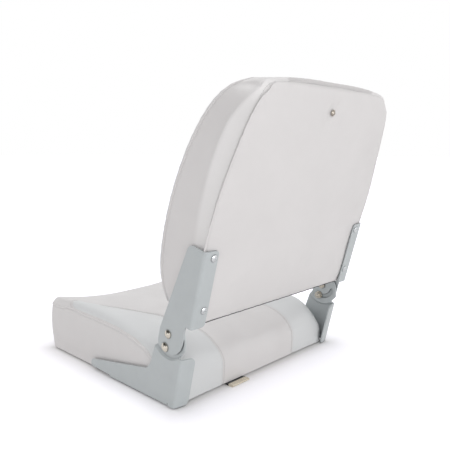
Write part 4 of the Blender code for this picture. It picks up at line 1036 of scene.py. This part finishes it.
@dataclass
class SeatCushion(Cushion):
    """The seat: a foam slab with raised sides, in a cover of one three-panel top and one boxing band."""

    half_width: float = 0.2130
    front: float = -0.2172
    rear: float = 0.1900
    top: float = 0.0985
    front_undercut: float = 0.022
    rear_undercut: float = 0.002
    seam_inset: float = 0.004
    hollow: float = 0.017
    hollow_shares: tuple[float, float, float] = (1, 0.8, 0.5)
    valley: float = 0.003
    corner: float = 0.015
    hem: float = 0.022
    vinyl: float = 1.2 * MM
    gap: float = 0.3 * MM
    mid_share: float = 0.30
    hem_hold: float = 14 * MM
    # Front to rear, in shares: depth, height of the raised side, height of the edge seam and half distance of
    # the inner seams
    rows: Table = (
        (0.0, 0.915, 0.868, 0.74),
        (0.088, 1.022, 0.922, 0.77),
        (0.284, 1.050, 0.962, 0.69),
        (0.505, 1.036, 0.962, 0.555),
        (0.714, 0.960, 0.868, 0.474),
        (0.870, 0.900, 0.620, 0.468),
        (0.977, 0.620, 0.340, 0.468),
    )
    # Heights along the front edge, from the centre to the corner
    front_heights: tuple[float, ...] = (0.0736, 0.0737, 0.0843, 0.0875, 0.0880)
    # Front to rear: how far the raised side stands above that height, and its share of the way to the edge
    shoulders: Table = (*((0.0, 0.5),) * 4, (0.002, 0.55), (0.006, 0.62), (0.006, 0.62))
    # Side view of one inner seam, from under the rear up to its top
    inner_rise: Table = ((0.190, 0.001), (0.191, 0.030), (0.181, 0.061), (0.160, 0.078), (0.130, 0.086))
    # Plan of one inner seam, from the rear to where it meets the edge seam near the front
    inner_plan: Table = (
        (0.101, 0.080), (0.107, 0.027), (0.118, 0.000), (0.127, -0.021), (0.152, -0.0895),
        (0.168, -0.120), (0.185, -0.140), (0.197, -0.138), (0.207, -0.126), (0.214, -0.120),
    )  # fmt: skip
    inner_height: float = 0.097
    # Where the strip beside an inner seam ends: outside it, in front of it, and the half width from which the
    # edge seam cuts it
    strip_reach: float = 0.25
    strip_front: float = -0.118
    strip_edge: float = 0.200
    # Side view of the edge seam, from the rear corner to the front, how far outside the cover its guide is
    # held, and its way round the front corner, inwards, behind the front and up
    edge_side: Table = (
        (0.187, 0.004), (0.184, 0.020), (0.176, 0.033), (0.158, 0.046), (0.131, 0.059), (0.115, 0.071),
        (0.081, 0.0835), (0.028, 0.0912), (-0.033, 0.0945), (-0.121, 0.0940), (-0.170, 0.0905),
    )  # fmt: skip
    edge_guide: float = 0.006
    edge_corner: Table = ((0.002, 0.010, 0.0875), (0.014, 0.0, 0.0880))

    def place(self, across: float, along: float, level: int) -> tuple[float, float, float]:
        """Where the cover passes for a vertex of its cage.

        Args:
            across: The vertex's share across the seat, from -1 to 1.
            along: Its share from front to rear, from -1 to 1.
            level: 0 on top, 1 and 2 down the wall, 3 at the hem's edge.

        Returns:
            The place, in metres.
        """
        last = len(self.front_heights) - 1
        row = round((along + 1) / 2 * (len(self.rows) - 1))
        column = round(abs(across) * last)
        edge = column == last
        depth_share, crest_share, edge_share, seam_share = self.rows[row]
        side = 1 if across > 0 else -1
        pull = self.corner * (1 - math.cos(math.pi / 4)) if abs(along) == 1 and edge else 0
        seam = self.half_width * seam_share
        edge_x = self.half_width - pull
        lift, share = self.shoulders[row]
        reach = (0, seam / 2, seam, seam + (edge_x - seam) * share, edge_x)[column]
        y = self.front + depth_share * (self.rear - self.front)
        if level == 0:
            fade = 1 - depth_share**3
            drop = [self.hollow * fade * part for part in self.hollow_shares] + [-lift, 0]
            drop[2] += self.valley if row > 1 else 0
            z = self.top * (edge_share if edge else crest_share) - drop[column]
            z = z if row else self.front_heights[column]
            return (side * (reach - self.seam_inset * edge), y - pull * along, z)
        if level == 1:
            y = {-1: self.front + pull, 1: self.rear - pull}.get(along, y)
            return (side * reach, y, self.top * self.mid_share)
        front = self.front + self.front_undercut
        rear = self.rear - self.rear_undercut
        y = {-1: front + pull, 1: rear - pull}.get(along, y)
        if level == 3:
            reach *= 1 - self.hem / self.half_width
            y -= (y - (front + rear) / 2) * self.hem / ((rear - front) / 2)
        return (side * reach, y, -self.gap - self.vinyl)

    def seams(self) -> list[Seam]:
        """Lay out two inner seams, over the top and down the rear, and the edge seam round sides and front.

        Returns:
            The seams.
        """
        made = []
        for name, side in (("left", 1), ("right", -1)):
            guide = [Vector((side * self.inner_plan[0][0], y, z)) for y, z in self.inner_rise]
            guide += [Vector((side * x, y, self.inner_height)) for x, y in self.inner_plan]
            finish = Finish.TOPSTITCHED if side > 0 else Finish.TOPSTITCHED_OTHER
            made.append(Seam(f"seat_inner_seam_{name}", guide, finish))
        edge = [Vector((self.half_width + self.edge_guide, y, z)) for y, z in self.edge_side]
        edge += [Vector((self.half_width - inset, self.front + y, z)) for inset, y, z in self.edge_corner]
        edge += [Vector(self.place(across, -1, 0)) for across in (0.75, 0.5, 0.25, 0)]
        edge += [Vector((-point.x, point.y, point.z)) for point in reversed(edge[:-1])]
        made.append(Seam("seat_edge_seam", edge, Finish.ROLLED))
        return made

    def cool_side(self, points: np.ndarray) -> np.ndarray:
        """The strips between the inner seams and the edge seam are the cooler grey.

        Args:
            points: The points, one row each.

        Returns:
            How far each point lies inside them.
        """
        plan = np.column_stack([np.abs(points[:, 0]), points[:, 1]])
        reach = self.strip_reach
        outline = [(self.inner_plan[0][0], reach), *self.inner_plan]
        strip = signed_to_outline(plan, [*outline, (reach, self.strip_front), (reach, reach)])
        side = np.array(self.edge_side[::-1])
        seam_height = np.interp(points[:, 1], side[:, 0], side[:, 1])
        lift = np.where(np.abs(points[:, 0]) < self.strip_edge, 1.0, points[:, 2] - seam_height)
        return np.minimum(strip, lift)

    def build(self) -> None:
        """Build the cover with its hem, and the seams and stitches on it."""
        cage = Cage(columns=8, rows=6, levels=3, place=self.place)
        form = cage.build("seat_upholstery", {2: 1.0, 3: 1.0}, closed=False)

        def held(points: np.ndarray) -> np.ndarray:
            """The hem and the foot of the walls are fixed to the pan."""
            return np.clip(1 - points[:, 2] / self.hem_hold, 0, 1)

        mesh = self.sewn(form, held)
        self.painted(mesh)
        self.sew(mesh, "seat", Body.SEAT)
        mesh = applied(mesh, "SOLIDIFY", {"thickness": self.vinyl, "offset": -1})
        mesh.shade_smooth()
        mesh.set_sharp_from_angle(angle=math.radians(50))
        piece = add_object("seat_upholstery", mesh, self.finishes.vinyl, Body.SEAT)
        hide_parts("seat_cover", "seat_foam")


@dataclass
class BackCushion(Cushion):
    """The backrest: foam with raised sides on a board, in a front panel, a boxing and a padded rear panel."""

    hinge: Matrix = field(default_factory=Matrix)
    edge: float = 0.0326
    height: float = 0.3795
    half_width: float = 0.2145
    depth: float = 0.100
    bulge: float = 2.3 * MM
    hollow: float = 0.010
    hollow_share: float = 0.6
    front_seam: float = 0.006
    plane: float = 0.0457
    rear: float = 0.0424
    crown: float = 6.5 * MM
    panel_share: float = 0.6
    board_hold: float = 12 * MM
    board_firmness: float = 0.85
    stud_height: float = 0.339
    stud_seat: float = 0.0552
    # How far the top drops at its corners, and the share of that at each column of the cage
    top_drop: float = 0.020
    top_drops: tuple[float, ...] = (0, 0, 0.22, 1)
    # At the top, in front and in the middle of the boxing: the share of the height, and the share of the drop
    top_front: Span = (0.982, 0.5)
    top_middle: Span = (1.0, 0.8)
    # Where the cage's columns lie, from the centre out, in shares of the half width
    columns: tuple[float, ...] = (0, 0.48, 0.91, 1)
    # Up the back, in shares: height, half width, depth of the raised side, rearward stand of the rear panel
    rows: Table = (
        (0.0, 0.985, 0.53, 0.0),
        (0.10, 0.995, 0.925, 0.0),
        (0.28, 1.0, 1.050, 0.0),
        (0.475, 0.995, 1.025, 0.045),
        (0.66, 0.962, 0.950, 0.065),
        (0.82, 0.893, 0.85, 0.08),
        (0.925, 0.818, 0.68, 0.09),
        (1.0, 0.755, 0.46, 0.09),
    )
    # The three rings behind the boxing's middle, each point as half width, distance behind the pivot and
    # height: the foam's ridge, the rear seam and the shoulder of the rear panel
    side_rings: tuple[Table, ...] = (
        (
            (0.2113, 0.0180, 0.0326), (0.2144, 0.0180, 0.0706), (0.2155, 0.0170, 0.1389),
            (0.2166, 0.0140, 0.2129), (0.2122, 0.0155, 0.2831), (0.1995, 0.0200, 0.3438),
            (0.1845, 0.0365, 0.3836), (0.1735, 0.0440, 0.3975),
        ),
        (
            (0.2105, 0.0375, 0.0345), (0.2132, 0.0385, 0.0706), (0.2147, 0.0391, 0.1389),
            (0.2144, 0.0416, 0.2129), (0.2040, 0.0448, 0.2831), (0.1902, 0.0478, 0.3438),
            (0.1758, 0.0505, 0.3815), (0.1620, 0.0512, 0.3957),
        ),
        (
            (0.2050, 0.0396, 0.0400), (0.2080, 0.0398, 0.0740), (0.2090, 0.0402, 0.1389),
            (0.2075, 0.0456, 0.2129), (0.1970, 0.0484, 0.2831), (0.1840, 0.0528, 0.3415),
            (0.1695, 0.0556, 0.3750), (0.1550, 0.0560, 0.3898),
        ),
    )  # fmt: skip
    # The same rings along the top edge at the centre, and how far they drop towards its corners
    top_rings: Table = ((0.0450, 0.4168, 0.0115), (0.0490, 0.4085, 0.0060), (0.0548, 0.4020, 0.0060))
    # The inner seams of the front: their half distance, and how much further apart they run above a height
    inner_share: float = 0.47
    inner_flare: float = 0.16
    flare_from: float = 0.45
    # The strip along the top, painted darker as shade: where it starts, upwards and rearwards, and how fast it
    # comes in
    shade_from: Span = (0.405, 0.020)
    shade_ease: Span = (5 * MM, 12 * MM)
    shade_share: float = 1.5
    # The band painted paler as a highlight: how strong it is, how far before the ridge it starts, how fast it
    # comes in there and goes out at the seam, the height where it starts and how fast it comes in, and its
    # least half width
    painted_highlight_share: float = 0.75
    painted_highlight_edges: tuple[float, float, float] = (5 * MM, 9 * MM, 4 * MM)
    painted_highlight_from: Span = (0.12, 0.07)
    painted_highlight_beyond: float = 0.12
    # The dimple: the stud's own dip, the long valley that it lies in and the folds that run out from the stud
    stud_clear: float = 6 * MM
    stud_dip: float = 8 * MM
    dip_depth: float = 4.2 * MM
    dip_size: Span = (26 * MM, 11 * MM)
    dip_slope: Span = (0.8, 0.6)
    fold_depth: float = 0.6 * MM
    fold_ring: Span = (11 * MM, 9 * MM)
    folds: int = 5
    fold_turn: float = 0.6
    # The dark strip under the back, painted shade that stands in for the shadow gap below its lower edge: its
    # guide's points, and how far it lies behind the pivot and below the edge
    strip_across: tuple[float, ...] = (-0.188, -0.06, 0.06, 0.188)
    strip_behind: float = 0.045
    strip_below: float = 0.0075

    def place(self, across: float, along: float, level: int) -> tuple[float, float, float]:
        """Where the cover passes for a vertex of its cage.

        Args:
            across: The vertex's share across the back, from -1 to 1.
            along: Its share up the back, from -1 to 1.
            level: 0 in front, 1 in the boxing's middle, 2 to 4 for the three rings and 5 on the rear panel.

        Returns:
            The place in the hinge's frame, in metres.
        """
        last = len(self.rows) - 1
        row = round((along + 1) / 2 * last)
        column = round(abs(across) * 3)
        height_share, width_share, depth_share, stand = self.rows[row]
        side = 1 if across > 0 else -1
        reach = self.columns[column]
        if level in (2, 3, 4):
            x, y, up = self.side_rings[level - 2][row]
            if column < 3 and row == last:
                y, centre_up, drop = self.top_rings[level - 2]
                up = centre_up - drop * reach**4
            return (side * x * reach, y, up)
        x = side * self.half_width * width_share * reach
        up = self.edge + self.height * height_share
        if row == last:
            share, drop_share = self.top_front if level == 0 else self.top_middle
            up = self.edge + self.height * share - self.top_drop * self.top_drops[column] * drop_share
        depth = self.depth * depth_share
        if level == 0:
            fade = 1 if 0 < row < last else 0.5
            drop = (self.hollow * fade, self.hollow * fade * self.hollow_share, 0, self.front_seam)[column]
            return (x, self.plane - depth + drop, up)
        if level == 1:
            if column == 3 and 0 < row < last:
                x += side * self.bulge
            return (x, self.plane - depth * 0.5, up)
        centre = self.edge + self.height / 2
        up = centre + (up - centre) * self.panel_share
        return (x * self.panel_share, self.rear + self.depth * stand + self.crown, up)

    def front_at(self, share: float | np.ndarray) -> float | np.ndarray:
        """Find the front seam.

        Args:
            share: A share of the height.

        Returns:
            How far behind the pivot the seam lies there.
        """
        heights = [row[0] for row in self.rows]
        depths = [row[2] for row in self.rows]
        return self.plane - self.depth * np.interp(share, heights, depths) + self.front_seam

    def inner_at(self, share: float | np.ndarray) -> float | np.ndarray:
        """Half the distance of the front's inner seams at a share of the height."""
        flare = self.inner_flare * np.maximum(0, share - self.flare_from) ** 2
        return self.half_width * (self.inner_share + flare)

    def ring(self, half: Sequence[tuple[float, float, float]]) -> list[Vector]:
        """Close half a line round the back.

        Args:
            half: Its points in the hinge's frame, from the bottom centre up to the top centre.

        Returns:
            The whole line in the model's frame, starting and ending at the bottom centre.
        """
        points = [*half, *((-x, y, up) for x, y, up in reversed(half[:-1]))]
        return [self.hinge @ Vector(point) for point in points]

    def seams(self) -> list[Seam]:
        """Lay out the seams round the rear panel and round the front, and the two inner seams down the front.

        Returns:
            The seams.
        """
        lines = []
        for level in (3, 0):
            half = [self.place(across, -1, level) for across in (0, 1 / 3, 2 / 3)]
            half += [self.place(1, -1 + row / 3.5, level) for row in range(1, 7)]
            half += [self.place(across, 1, level) for across in (2 / 3, 1 / 3, 0)]
            lines.append(self.ring(half))
        made = [
            Seam("back_rear_seam", lines[0], Finish.TOPSTITCHED_OTHER, 0.35),
            Seam("back_front_seam", lines[1], Finish.ROLLED),
        ]
        for name, side in (("left", 1), ("right", -1)):
            guide = []
            for share in np.linspace(0.01, 0.985, 14):
                x = side * self.inner_at(share)
                guide.append(self.hinge @ Vector((x, self.front_at(share), self.edge + self.height * share)))
            finish = Finish.TOPSTITCHED if side > 0 else Finish.TOPSTITCHED_OTHER
            made.append(Seam(f"back_inner_seam_{name}", guide, finish))
        return made

    def cool_side(self, points: np.ndarray) -> np.ndarray:
        """The strips beside the front's inner seams are the cooler grey.

        Args:
            points: The points, one row each.

        Returns:
            How far each point lies inside them.
        """
        local = in_frame(points, self.hinge)
        share = (local[:, 2] - self.edge) / self.height
        return np.minimum(np.abs(local[:, 0]) - self.inner_at(share), self.front_at(share) - local[:, 1])

    def shaded(self, points: np.ndarray) -> np.ndarray:
        """The strip along the back's top is painted darkest, as shade.

        Args:
            points: The points, one row each.

        Returns:
            The painted shade at each point.
        """
        local = in_frame(points, self.hinge)
        shares = (local[:, (2, 1)] - self.shade_from) / self.shade_ease
        # Painted shade that comes in upwards and rearwards along the top strip
        return self.shade_share * np.clip(shares, 0, 1).prod(axis=1)

    def painted_highlight(self, points: np.ndarray) -> np.ndarray:
        """The boxing is painted paler between the foam's ridge and the rear seam, as a highlight.

        Args:
            points: The points, one row each.

        Returns:
            How much painted highlight each point gets.
        """
        across, out, up = in_frame(points, self.hinge).T
        ridge, seam = (np.array(ring) for ring in self.side_rings[:2])
        behind = out - np.interp(up, ridge[:, 2], ridge[:, 1])
        before = np.interp(up, seam[:, 2], seam[:, 1]) - out
        lead, rise, fall = self.painted_highlight_edges
        # The painted highlight fades in past the ridge and out at the seam
        share = np.clip((behind + lead) / rise, 0, 1) * np.clip(before / fall, 0, 1)
        start, ease = self.painted_highlight_from
        share *= np.clip((up - start) / ease, 0, 1) * (np.abs(across) > self.painted_highlight_beyond)
        return self.painted_highlight_share * share

    def dimpled(self, mesh: bpy.types.Mesh) -> None:
        """Draw the rear panel in round the stud, with a few folds that run out from it.

        Args:
            mesh: The cover, which is changed.
        """
        points = coordinates(mesh)
        across, out, up = in_frame(points, self.hinge).T
        up = up - (self.edge + self.stud_height)
        rear = out > self.rear
        radius = np.hypot(across, up)
        proud = np.max(out[rear & (radius < self.stud_clear)]) - self.stud_seat
        rise, run = self.dip_slope
        along, beside = rise * up - run * across, run * up + rise * across
        dip = proud * np.exp(-((radius / self.stud_dip) ** 2))
        valley = np.exp(-((along / self.dip_size[0]) ** 2) - (beside / self.dip_size[1]) ** 2)
        dip += self.dip_depth * valley * np.tanh(radius / self.stud_dip)
        near = np.exp(-(((radius - self.fold_ring[0]) / self.fold_ring[1]) ** 2))
        dip += self.fold_depth * np.cos(self.folds * np.arctan2(up, across) + self.fold_turn) * near
        toward = np.array(tuple(self.hinge.to_3x3() @ Vector((0, -1, 0))))
        set_coordinates(mesh, points + (dip * rear)[:, None] * toward)

    def build(self) -> None:
        """Build the cover, and the seams and stitches on it."""
        cage = Cage(columns=6, rows=7, levels=5, place=self.place)
        form = cage.build("back_upholstery", {2: 0.45, 3: 0.45}, closed=True)
        form.transform(self.hinge)

        def held(points: np.ndarray) -> np.ndarray:
            """The rear panel lies on its board, and the brackets hold its lower corners."""
            behind = in_frame(points, self.hinge)[:, 1] - self.rear
            return np.clip(behind / self.board_hold + 1, 0, self.board_firmness)

        mesh = self.sewn(form, held)
        self.dimpled(mesh)
        self.painted(mesh)
        piece = add_object("back_upholstery", mesh, self.finishes.vinyl, Body.BACK)
        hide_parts("back_cover", "back_foam", "back_pad")
        self.sew(mesh, "back", Body.BACK)
        # A dark strip under the back's lower edge: painted shade for the shadow gap there
        up = self.edge - self.strip_below
        guide = [self.hinge @ Vector((x, self.strip_behind, up)) for x in self.strip_across]
        strip = Seam("back_shadow_strip", guide, Finish.SHADOW_STRIP).ridge(tree_of(mesh))
        add_object("back_shadow_strip", strip, self.finishes.shadow_strip, Body.BACK)


# Screws


@dataclass
class BackScrews:
    """The screws that hold the upper brackets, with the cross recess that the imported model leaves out."""

    finishes: Finishes
    hinge: Matrix
    nodes: dict[str, bpy.types.Object]
    recess_length: float = 5.0 * MM
    recess_width: float = 0.9 * MM
    recess_depth: float = 1.1 * MM
    recess_slope: float = 0.4 * MM
    recess_turn: float = math.radians(20)
    head: float = 1.2
    head_height: float = 2.8 * MM
    dome_share: float = 0.75
    dome_rings: int = 28
    crown_share: float = 0.03
    point_share: float = 0.3
    sides: int = 72

    def turned(self, name: str, crown: Vector, radius: float, shank: float, length: float) -> bpy.types.Mesh:
        """Turn the screw's profile and sink the cross into its crown.

        Args:
            name: The mesh's name.
            crown: The head's highest point, in the hinge's frame.
            radius: The head's radius.
            shank: The shank's radius.
            length: The length from crown to tip.

        Returns:
            The mesh in the model's frame.
        """
        shares = np.linspace(1, self.crown_share, self.dome_rings)
        dome = [(radius * share, -self.dome_share * self.head_height * share**2) for share in shares]
        shaft = [(shank * self.point_share, -length), (shank, -length + shank), (shank, -self.head_height)]
        profile = np.array([*shaft, (radius, -self.head_height), *dome])
        turn = np.arange(self.sides) / self.sides * math.tau
        across = profile[:, :1] * np.cos(turn)
        up = profile[:, :1] * np.sin(turn)
        out = np.repeat(profile[:, 1:], self.sides, axis=1)
        cosine, sine, slope = math.cos(self.recess_turn), math.sin(self.recess_turn), self.recess_slope
        along, beside = across * cosine + up * sine, up * cosine - across * sine
        sunk = np.zeros_like(out)
        for line, side in ((along, beside), (beside, along)):
            wide = np.clip((self.recess_width / 2 + slope - np.abs(side)) / slope, 0, 1)
            sunk = np.maximum(sunk, wide * np.clip((self.recess_length / 2 - np.abs(line)) / slope, 0, 1))
        out[-self.dome_rings :] -= self.recess_depth * sunk[-self.dome_rings :]
        bm = bmesh.new()
        places = np.dstack([across, out, up])
        rings = [[bm.verts.new(crown + Vector(point)) for point in ring] for ring in places]
        skinned(bm, rings)
        bmesh.ops.recalc_face_normals(bm, faces=bm.faces)
        mesh = mesh_from(bm, name)
        mesh.transform(self.hinge)
        return mesh

    def build(self) -> None:
        """Put a screw with its recess in the place of each plain one."""
        for name, node in self.nodes.items():
            if not name.startswith("back_screw"):
                continue
            points = in_frame(coordinates(node.data), self.hinge)
            low, high = points.min(axis=0), points.max(axis=0)
            middle = (low + high) / 2
            crown = Vector((middle[0], high[1], middle[2]))
            shank = points[points[:, 1] < middle[1]]
            radius = (shank[:, 0].max() - shank[:, 0].min()) / 2
            wide = (high[0] - low[0]) / 2 * self.head
            mesh = self.turned(f"{name}_dressed", crown, wide, radius, high[1] - low[1])
            piece = add_object(f"{name}_dressed", mesh, self.finishes.zinc, Body.BACK)
            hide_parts(name)


# Strap


@dataclass
class HoldDownStrap:
    """The webbing strap under the pan, with its hemmed end behind the seat."""

    finishes: Finishes
    node: bpy.types.Object
    hem: float = 15 * MM

    def build(self) -> None:
        """Dress the strap in webbing: a copy of its solid that lies where the solid lies."""
        mesh = self.node.data.copy()
        mesh.name = "strap_webbing"
        piece = add_object("strap_webbing", mesh, self.finishes.webbing, Body.SEAT)
        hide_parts("hold_down_strap")


# Studio


@dataclass
class Studio:
    """Camera, lamps, floor and world for one plain product photograph."""

    location: tuple[float, float, float] = (0.7422, 0.8006, 0.4063)
    yaw: float = 3.95243
    pitch: float = -0.14038
    roll: float = 0.00404
    lens: float = 42.6
    floor: float = -0.0048
    floor_reach: float = 30.0
    ambient: float = 0.80
    daylight: str = "#F6F5F5"
    ceiling: float = 0.05
    ceiling_from: Span = (0.20, 0.42)
    ceiling_beside: Span = (-0.25, 0.05)
    paper: str = "#F3F2F2"
    # The floor glows to the camera, weaker near the footprint, which paints shade round the seat
    glow: float = 0.66
    glow_colour: str = "#F0F0FF"
    glow_reach: float = 0.045
    footprint: Span = (0.213, 0.195)
    aim: tuple[float, float, float] = (0.0, 0.1, 0.2)
    # Each soft box: where it hangs, its side and its power in watts
    lamps: tuple[tuple[str, tuple[float, float, float], float, float], ...] = (
        ("key_softbox", (0.5, 2.3, 0.45), 1.6, 9.4),
        ("side_softbox", (2.2, 0.2, 0.6), 1.6, 1.2),
        ("low_fill", (0.1, 2.0, 0.25), 0.8, 3.2),
        ("top_softbox", (0.0, -0.4, 2.4), 2.0, 10.2),
    )

    def camera(self) -> None:
        """Place the camera where the photograph was taken from."""
        data = bpy.data.cameras.new("product_camera")
        data.lens = self.lens
        data.sensor_width = 36.0
        data.clip_start = 0.05
        data.clip_end = 100.0
        camera = bpy.data.objects.new("product_camera", data)
        bpy.context.scene.collection.objects.link(camera)
        level = math.cos(self.pitch)
        ahead = Vector((math.sin(self.yaw) * level, math.cos(self.yaw) * level, math.sin(self.pitch)))
        right = Vector((math.cos(self.yaw), -math.sin(self.yaw), 0))
        up = right.cross(ahead)
        turned_right = right * math.cos(self.roll) + up * math.sin(self.roll)
        turned_up = up * math.cos(self.roll) - right * math.sin(self.roll)
        axes = Matrix((turned_right, turned_up, -ahead)).transposed()
        camera.matrix_world = Matrix.Translation(self.location) @ axes.to_4x4()
        bpy.context.scene.camera = camera

    def lamp(self, name: str, place: tuple[float, float, float], size: float, power: float) -> None:
        """Hang one square, white soft box that points at the middle of the seat.

        Args:
            name: The lamp's name.
            place: Where it hangs.
            size: Its side.
            power: Its power in watts.
        """
        data = bpy.data.lights.new(name, "AREA")
        data.shape = "SQUARE"
        data.size = size
        data.energy = power
        lamp = bpy.data.objects.new(name, data)
        bpy.context.scene.collection.objects.link(lamp)
        toward = Vector(self.aim) - Vector(place)
        lamp.matrix_world = Matrix.Translation(place) @ toward.to_track_quat("-Z", "Y").to_matrix().to_4x4()

    def world(self) -> None:
        """A white surround that lights at a plain level, with a dark ceiling in gloss."""
        world = bpy.data.worlds.new("white_studio")
        world.use_nodes = True
        bpy.context.scene.world = world
        graph = Graph(world.node_tree)
        graph.tree.nodes.clear()
        rays, camera_ray = graph.add("LightPath", "Is Camera Ray")
        seen = graph.math("MAXIMUM", (rays, camera_ray), (rays, "Is Transmission Ray"))
        toward = graph.add("TexCoord", "Generated")
        rise, height = graph.add("SeparateXYZ", "Z", {"Vector": toward})
        ceiling = graph.ranged((rise, height), self.ceiling_from, smooth=True)
        beside = graph.ranged((rise, "X"), self.ceiling_beside, (0, 1 - self.ceiling), smooth=True)
        left = graph.math("SUBTRACT", 1.0, graph.math("MULTIPLY", ceiling, beside))
        daylight = {"Color": linear(self.daylight), "Strength": self.ambient}
        ambient = graph.add("Background", "Background", daylight)
        mirrored = graph.add("Background", "Background", {"Color": WHITE, "Strength": left})
        backdrop = graph.add("Background", "Background", {"Color": WHITE, "Strength": 1.0})
        lit = graph.add("MixShader", "Shader", {0: (rays, "Is Glossy Ray"), 1: ambient, 2: mirrored})
        shown = graph.add("MixShader", "Shader", {0: seen, 1: lit, 2: backdrop})
        graph.add("OutputWorld", "", {"Surface": shown})

    def ground(self) -> None:
        """A pale floor that keeps the seat's shadow and glows white to the camera; the glow is weaker near the
        seat's footprint, which paints shade round the seat.
        """
        bm = bmesh.new()
        bmesh.ops.create_grid(bm, x_segments=1, y_segments=1, size=self.floor_reach)
        mesh = mesh_from(bm, "studio_floor")
        mesh.transform(Matrix.Translation((0, 0, self.floor)))
        material = bpy.data.materials.new("matt_white_sweep")
        material.use_nodes = True
        graph = Graph(material.node_tree)
        graph.tree.nodes.clear()
        # How far a point lies outside the seat's footprint, which the floor's glow to the camera grows with, so
        # that the floor is painted darker round the footprint, as shade
        steps = (
            ("ABSOLUTE", {}),
            ("SUBTRACT", {1: (*self.footprint, 1)}),
            ("MAXIMUM", {1: (0, 0, 0)}),
            ("LENGTH", {}),
        )
        away = graph.add("TexCoord", "Object")
        for operation, values in steps:
            away = graph.add("VectorMath", "Vector", {0: away, **values}, operation=operation)
        away = (away[0], "Value")
        share = graph.math("DIVIDE", away, graph.math("ADD", away, self.glow_reach))
        glow = graph.math("MULTIPLY", share, self.glow)
        seen = graph.math("MULTIPLY", graph.add("LightPath", "Is Camera Ray"), glow)
        glowing = graph.add("Emission", "Emission", {"Color": linear(self.glow_colour), "Strength": seen})
        paper = graph.add("BsdfDiffuse", "BSDF", {"Color": linear(self.paper)})
        both = graph.add("AddShader", "Shader", {0: paper, 1: glowing})
        graph.add("OutputMaterial", "", {"Surface": both})
        mesh.materials.append(material)
        floor = bpy.data.objects.new("studio_floor", mesh)
        bpy.context.scene.collection.objects.link(floor)

    def build(self) -> None:
        """Set up the studio."""
        bpy.context.scene.view_settings.view_transform = "Standard"
        self.camera()
        self.world()
        self.ground()
        for lamp in self.lamps:
            self.lamp(*lamp)


def dress_hardware(frame: dict, finishes: Finishes) -> None:
    """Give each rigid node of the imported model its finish.

    Args:
        finishes: The finishes.
    """
    rules = {
        finishes.coat: ("lower_bracket", "upper_bracket"),
        finishes.nylon: ("pivot_washer", "stop_bush"),
        finishes.zinc: ("back_screw", "base_screw", "insert"),
        finishes.nickel: ("snap_stud",),
        finishes.pan: ("seat_pan",),
        finishes.board: ("back_board",),
        finishes.foam: ("seat_foam", "back_foam", "back_pad"),
        finishes.vinyl: ("seat_cover", "back_cover"),
        finishes.webbing: ("hold_down_strap",),
    }
    for name, node in frame["nodes"].items():
        found = [material for material, starts in rules.items() if name.startswith(starts)]
        material = found[0] if found else finishes.stainless
        if not node.material_slots:
            node.data.materials.append(material)
        for slot in node.material_slots:
            slot.material = material
        LOG.info("%s: %s", name, material.name)


def main() -> None:
    """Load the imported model, then build the seat and its studio in order."""
    logging.basicConfig(level=logging.INFO, format="%(name)s: %(message)s")
    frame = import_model()
    finishes = Finishes()
    pivot = next(joint for joint in frame["joints"] if joint["name"] == "backrest_fold")
    hinge = Matrix.Translation(pivot["pos_m"]) @ Matrix.Rotation(-math.radians(14.7), 4, "X")
    Studio().build()
    dress_hardware(frame, finishes)
    SeatCushion(finishes).build()
    BackCushion(finishes, hinge=hinge).build()
    BackScrews(finishes, hinge, frame["nodes"]).build()
    HoldDownStrap(finishes, frame["nodes"]["hold_down_strap"]).build()


if __name__ == "__main__":
    main()
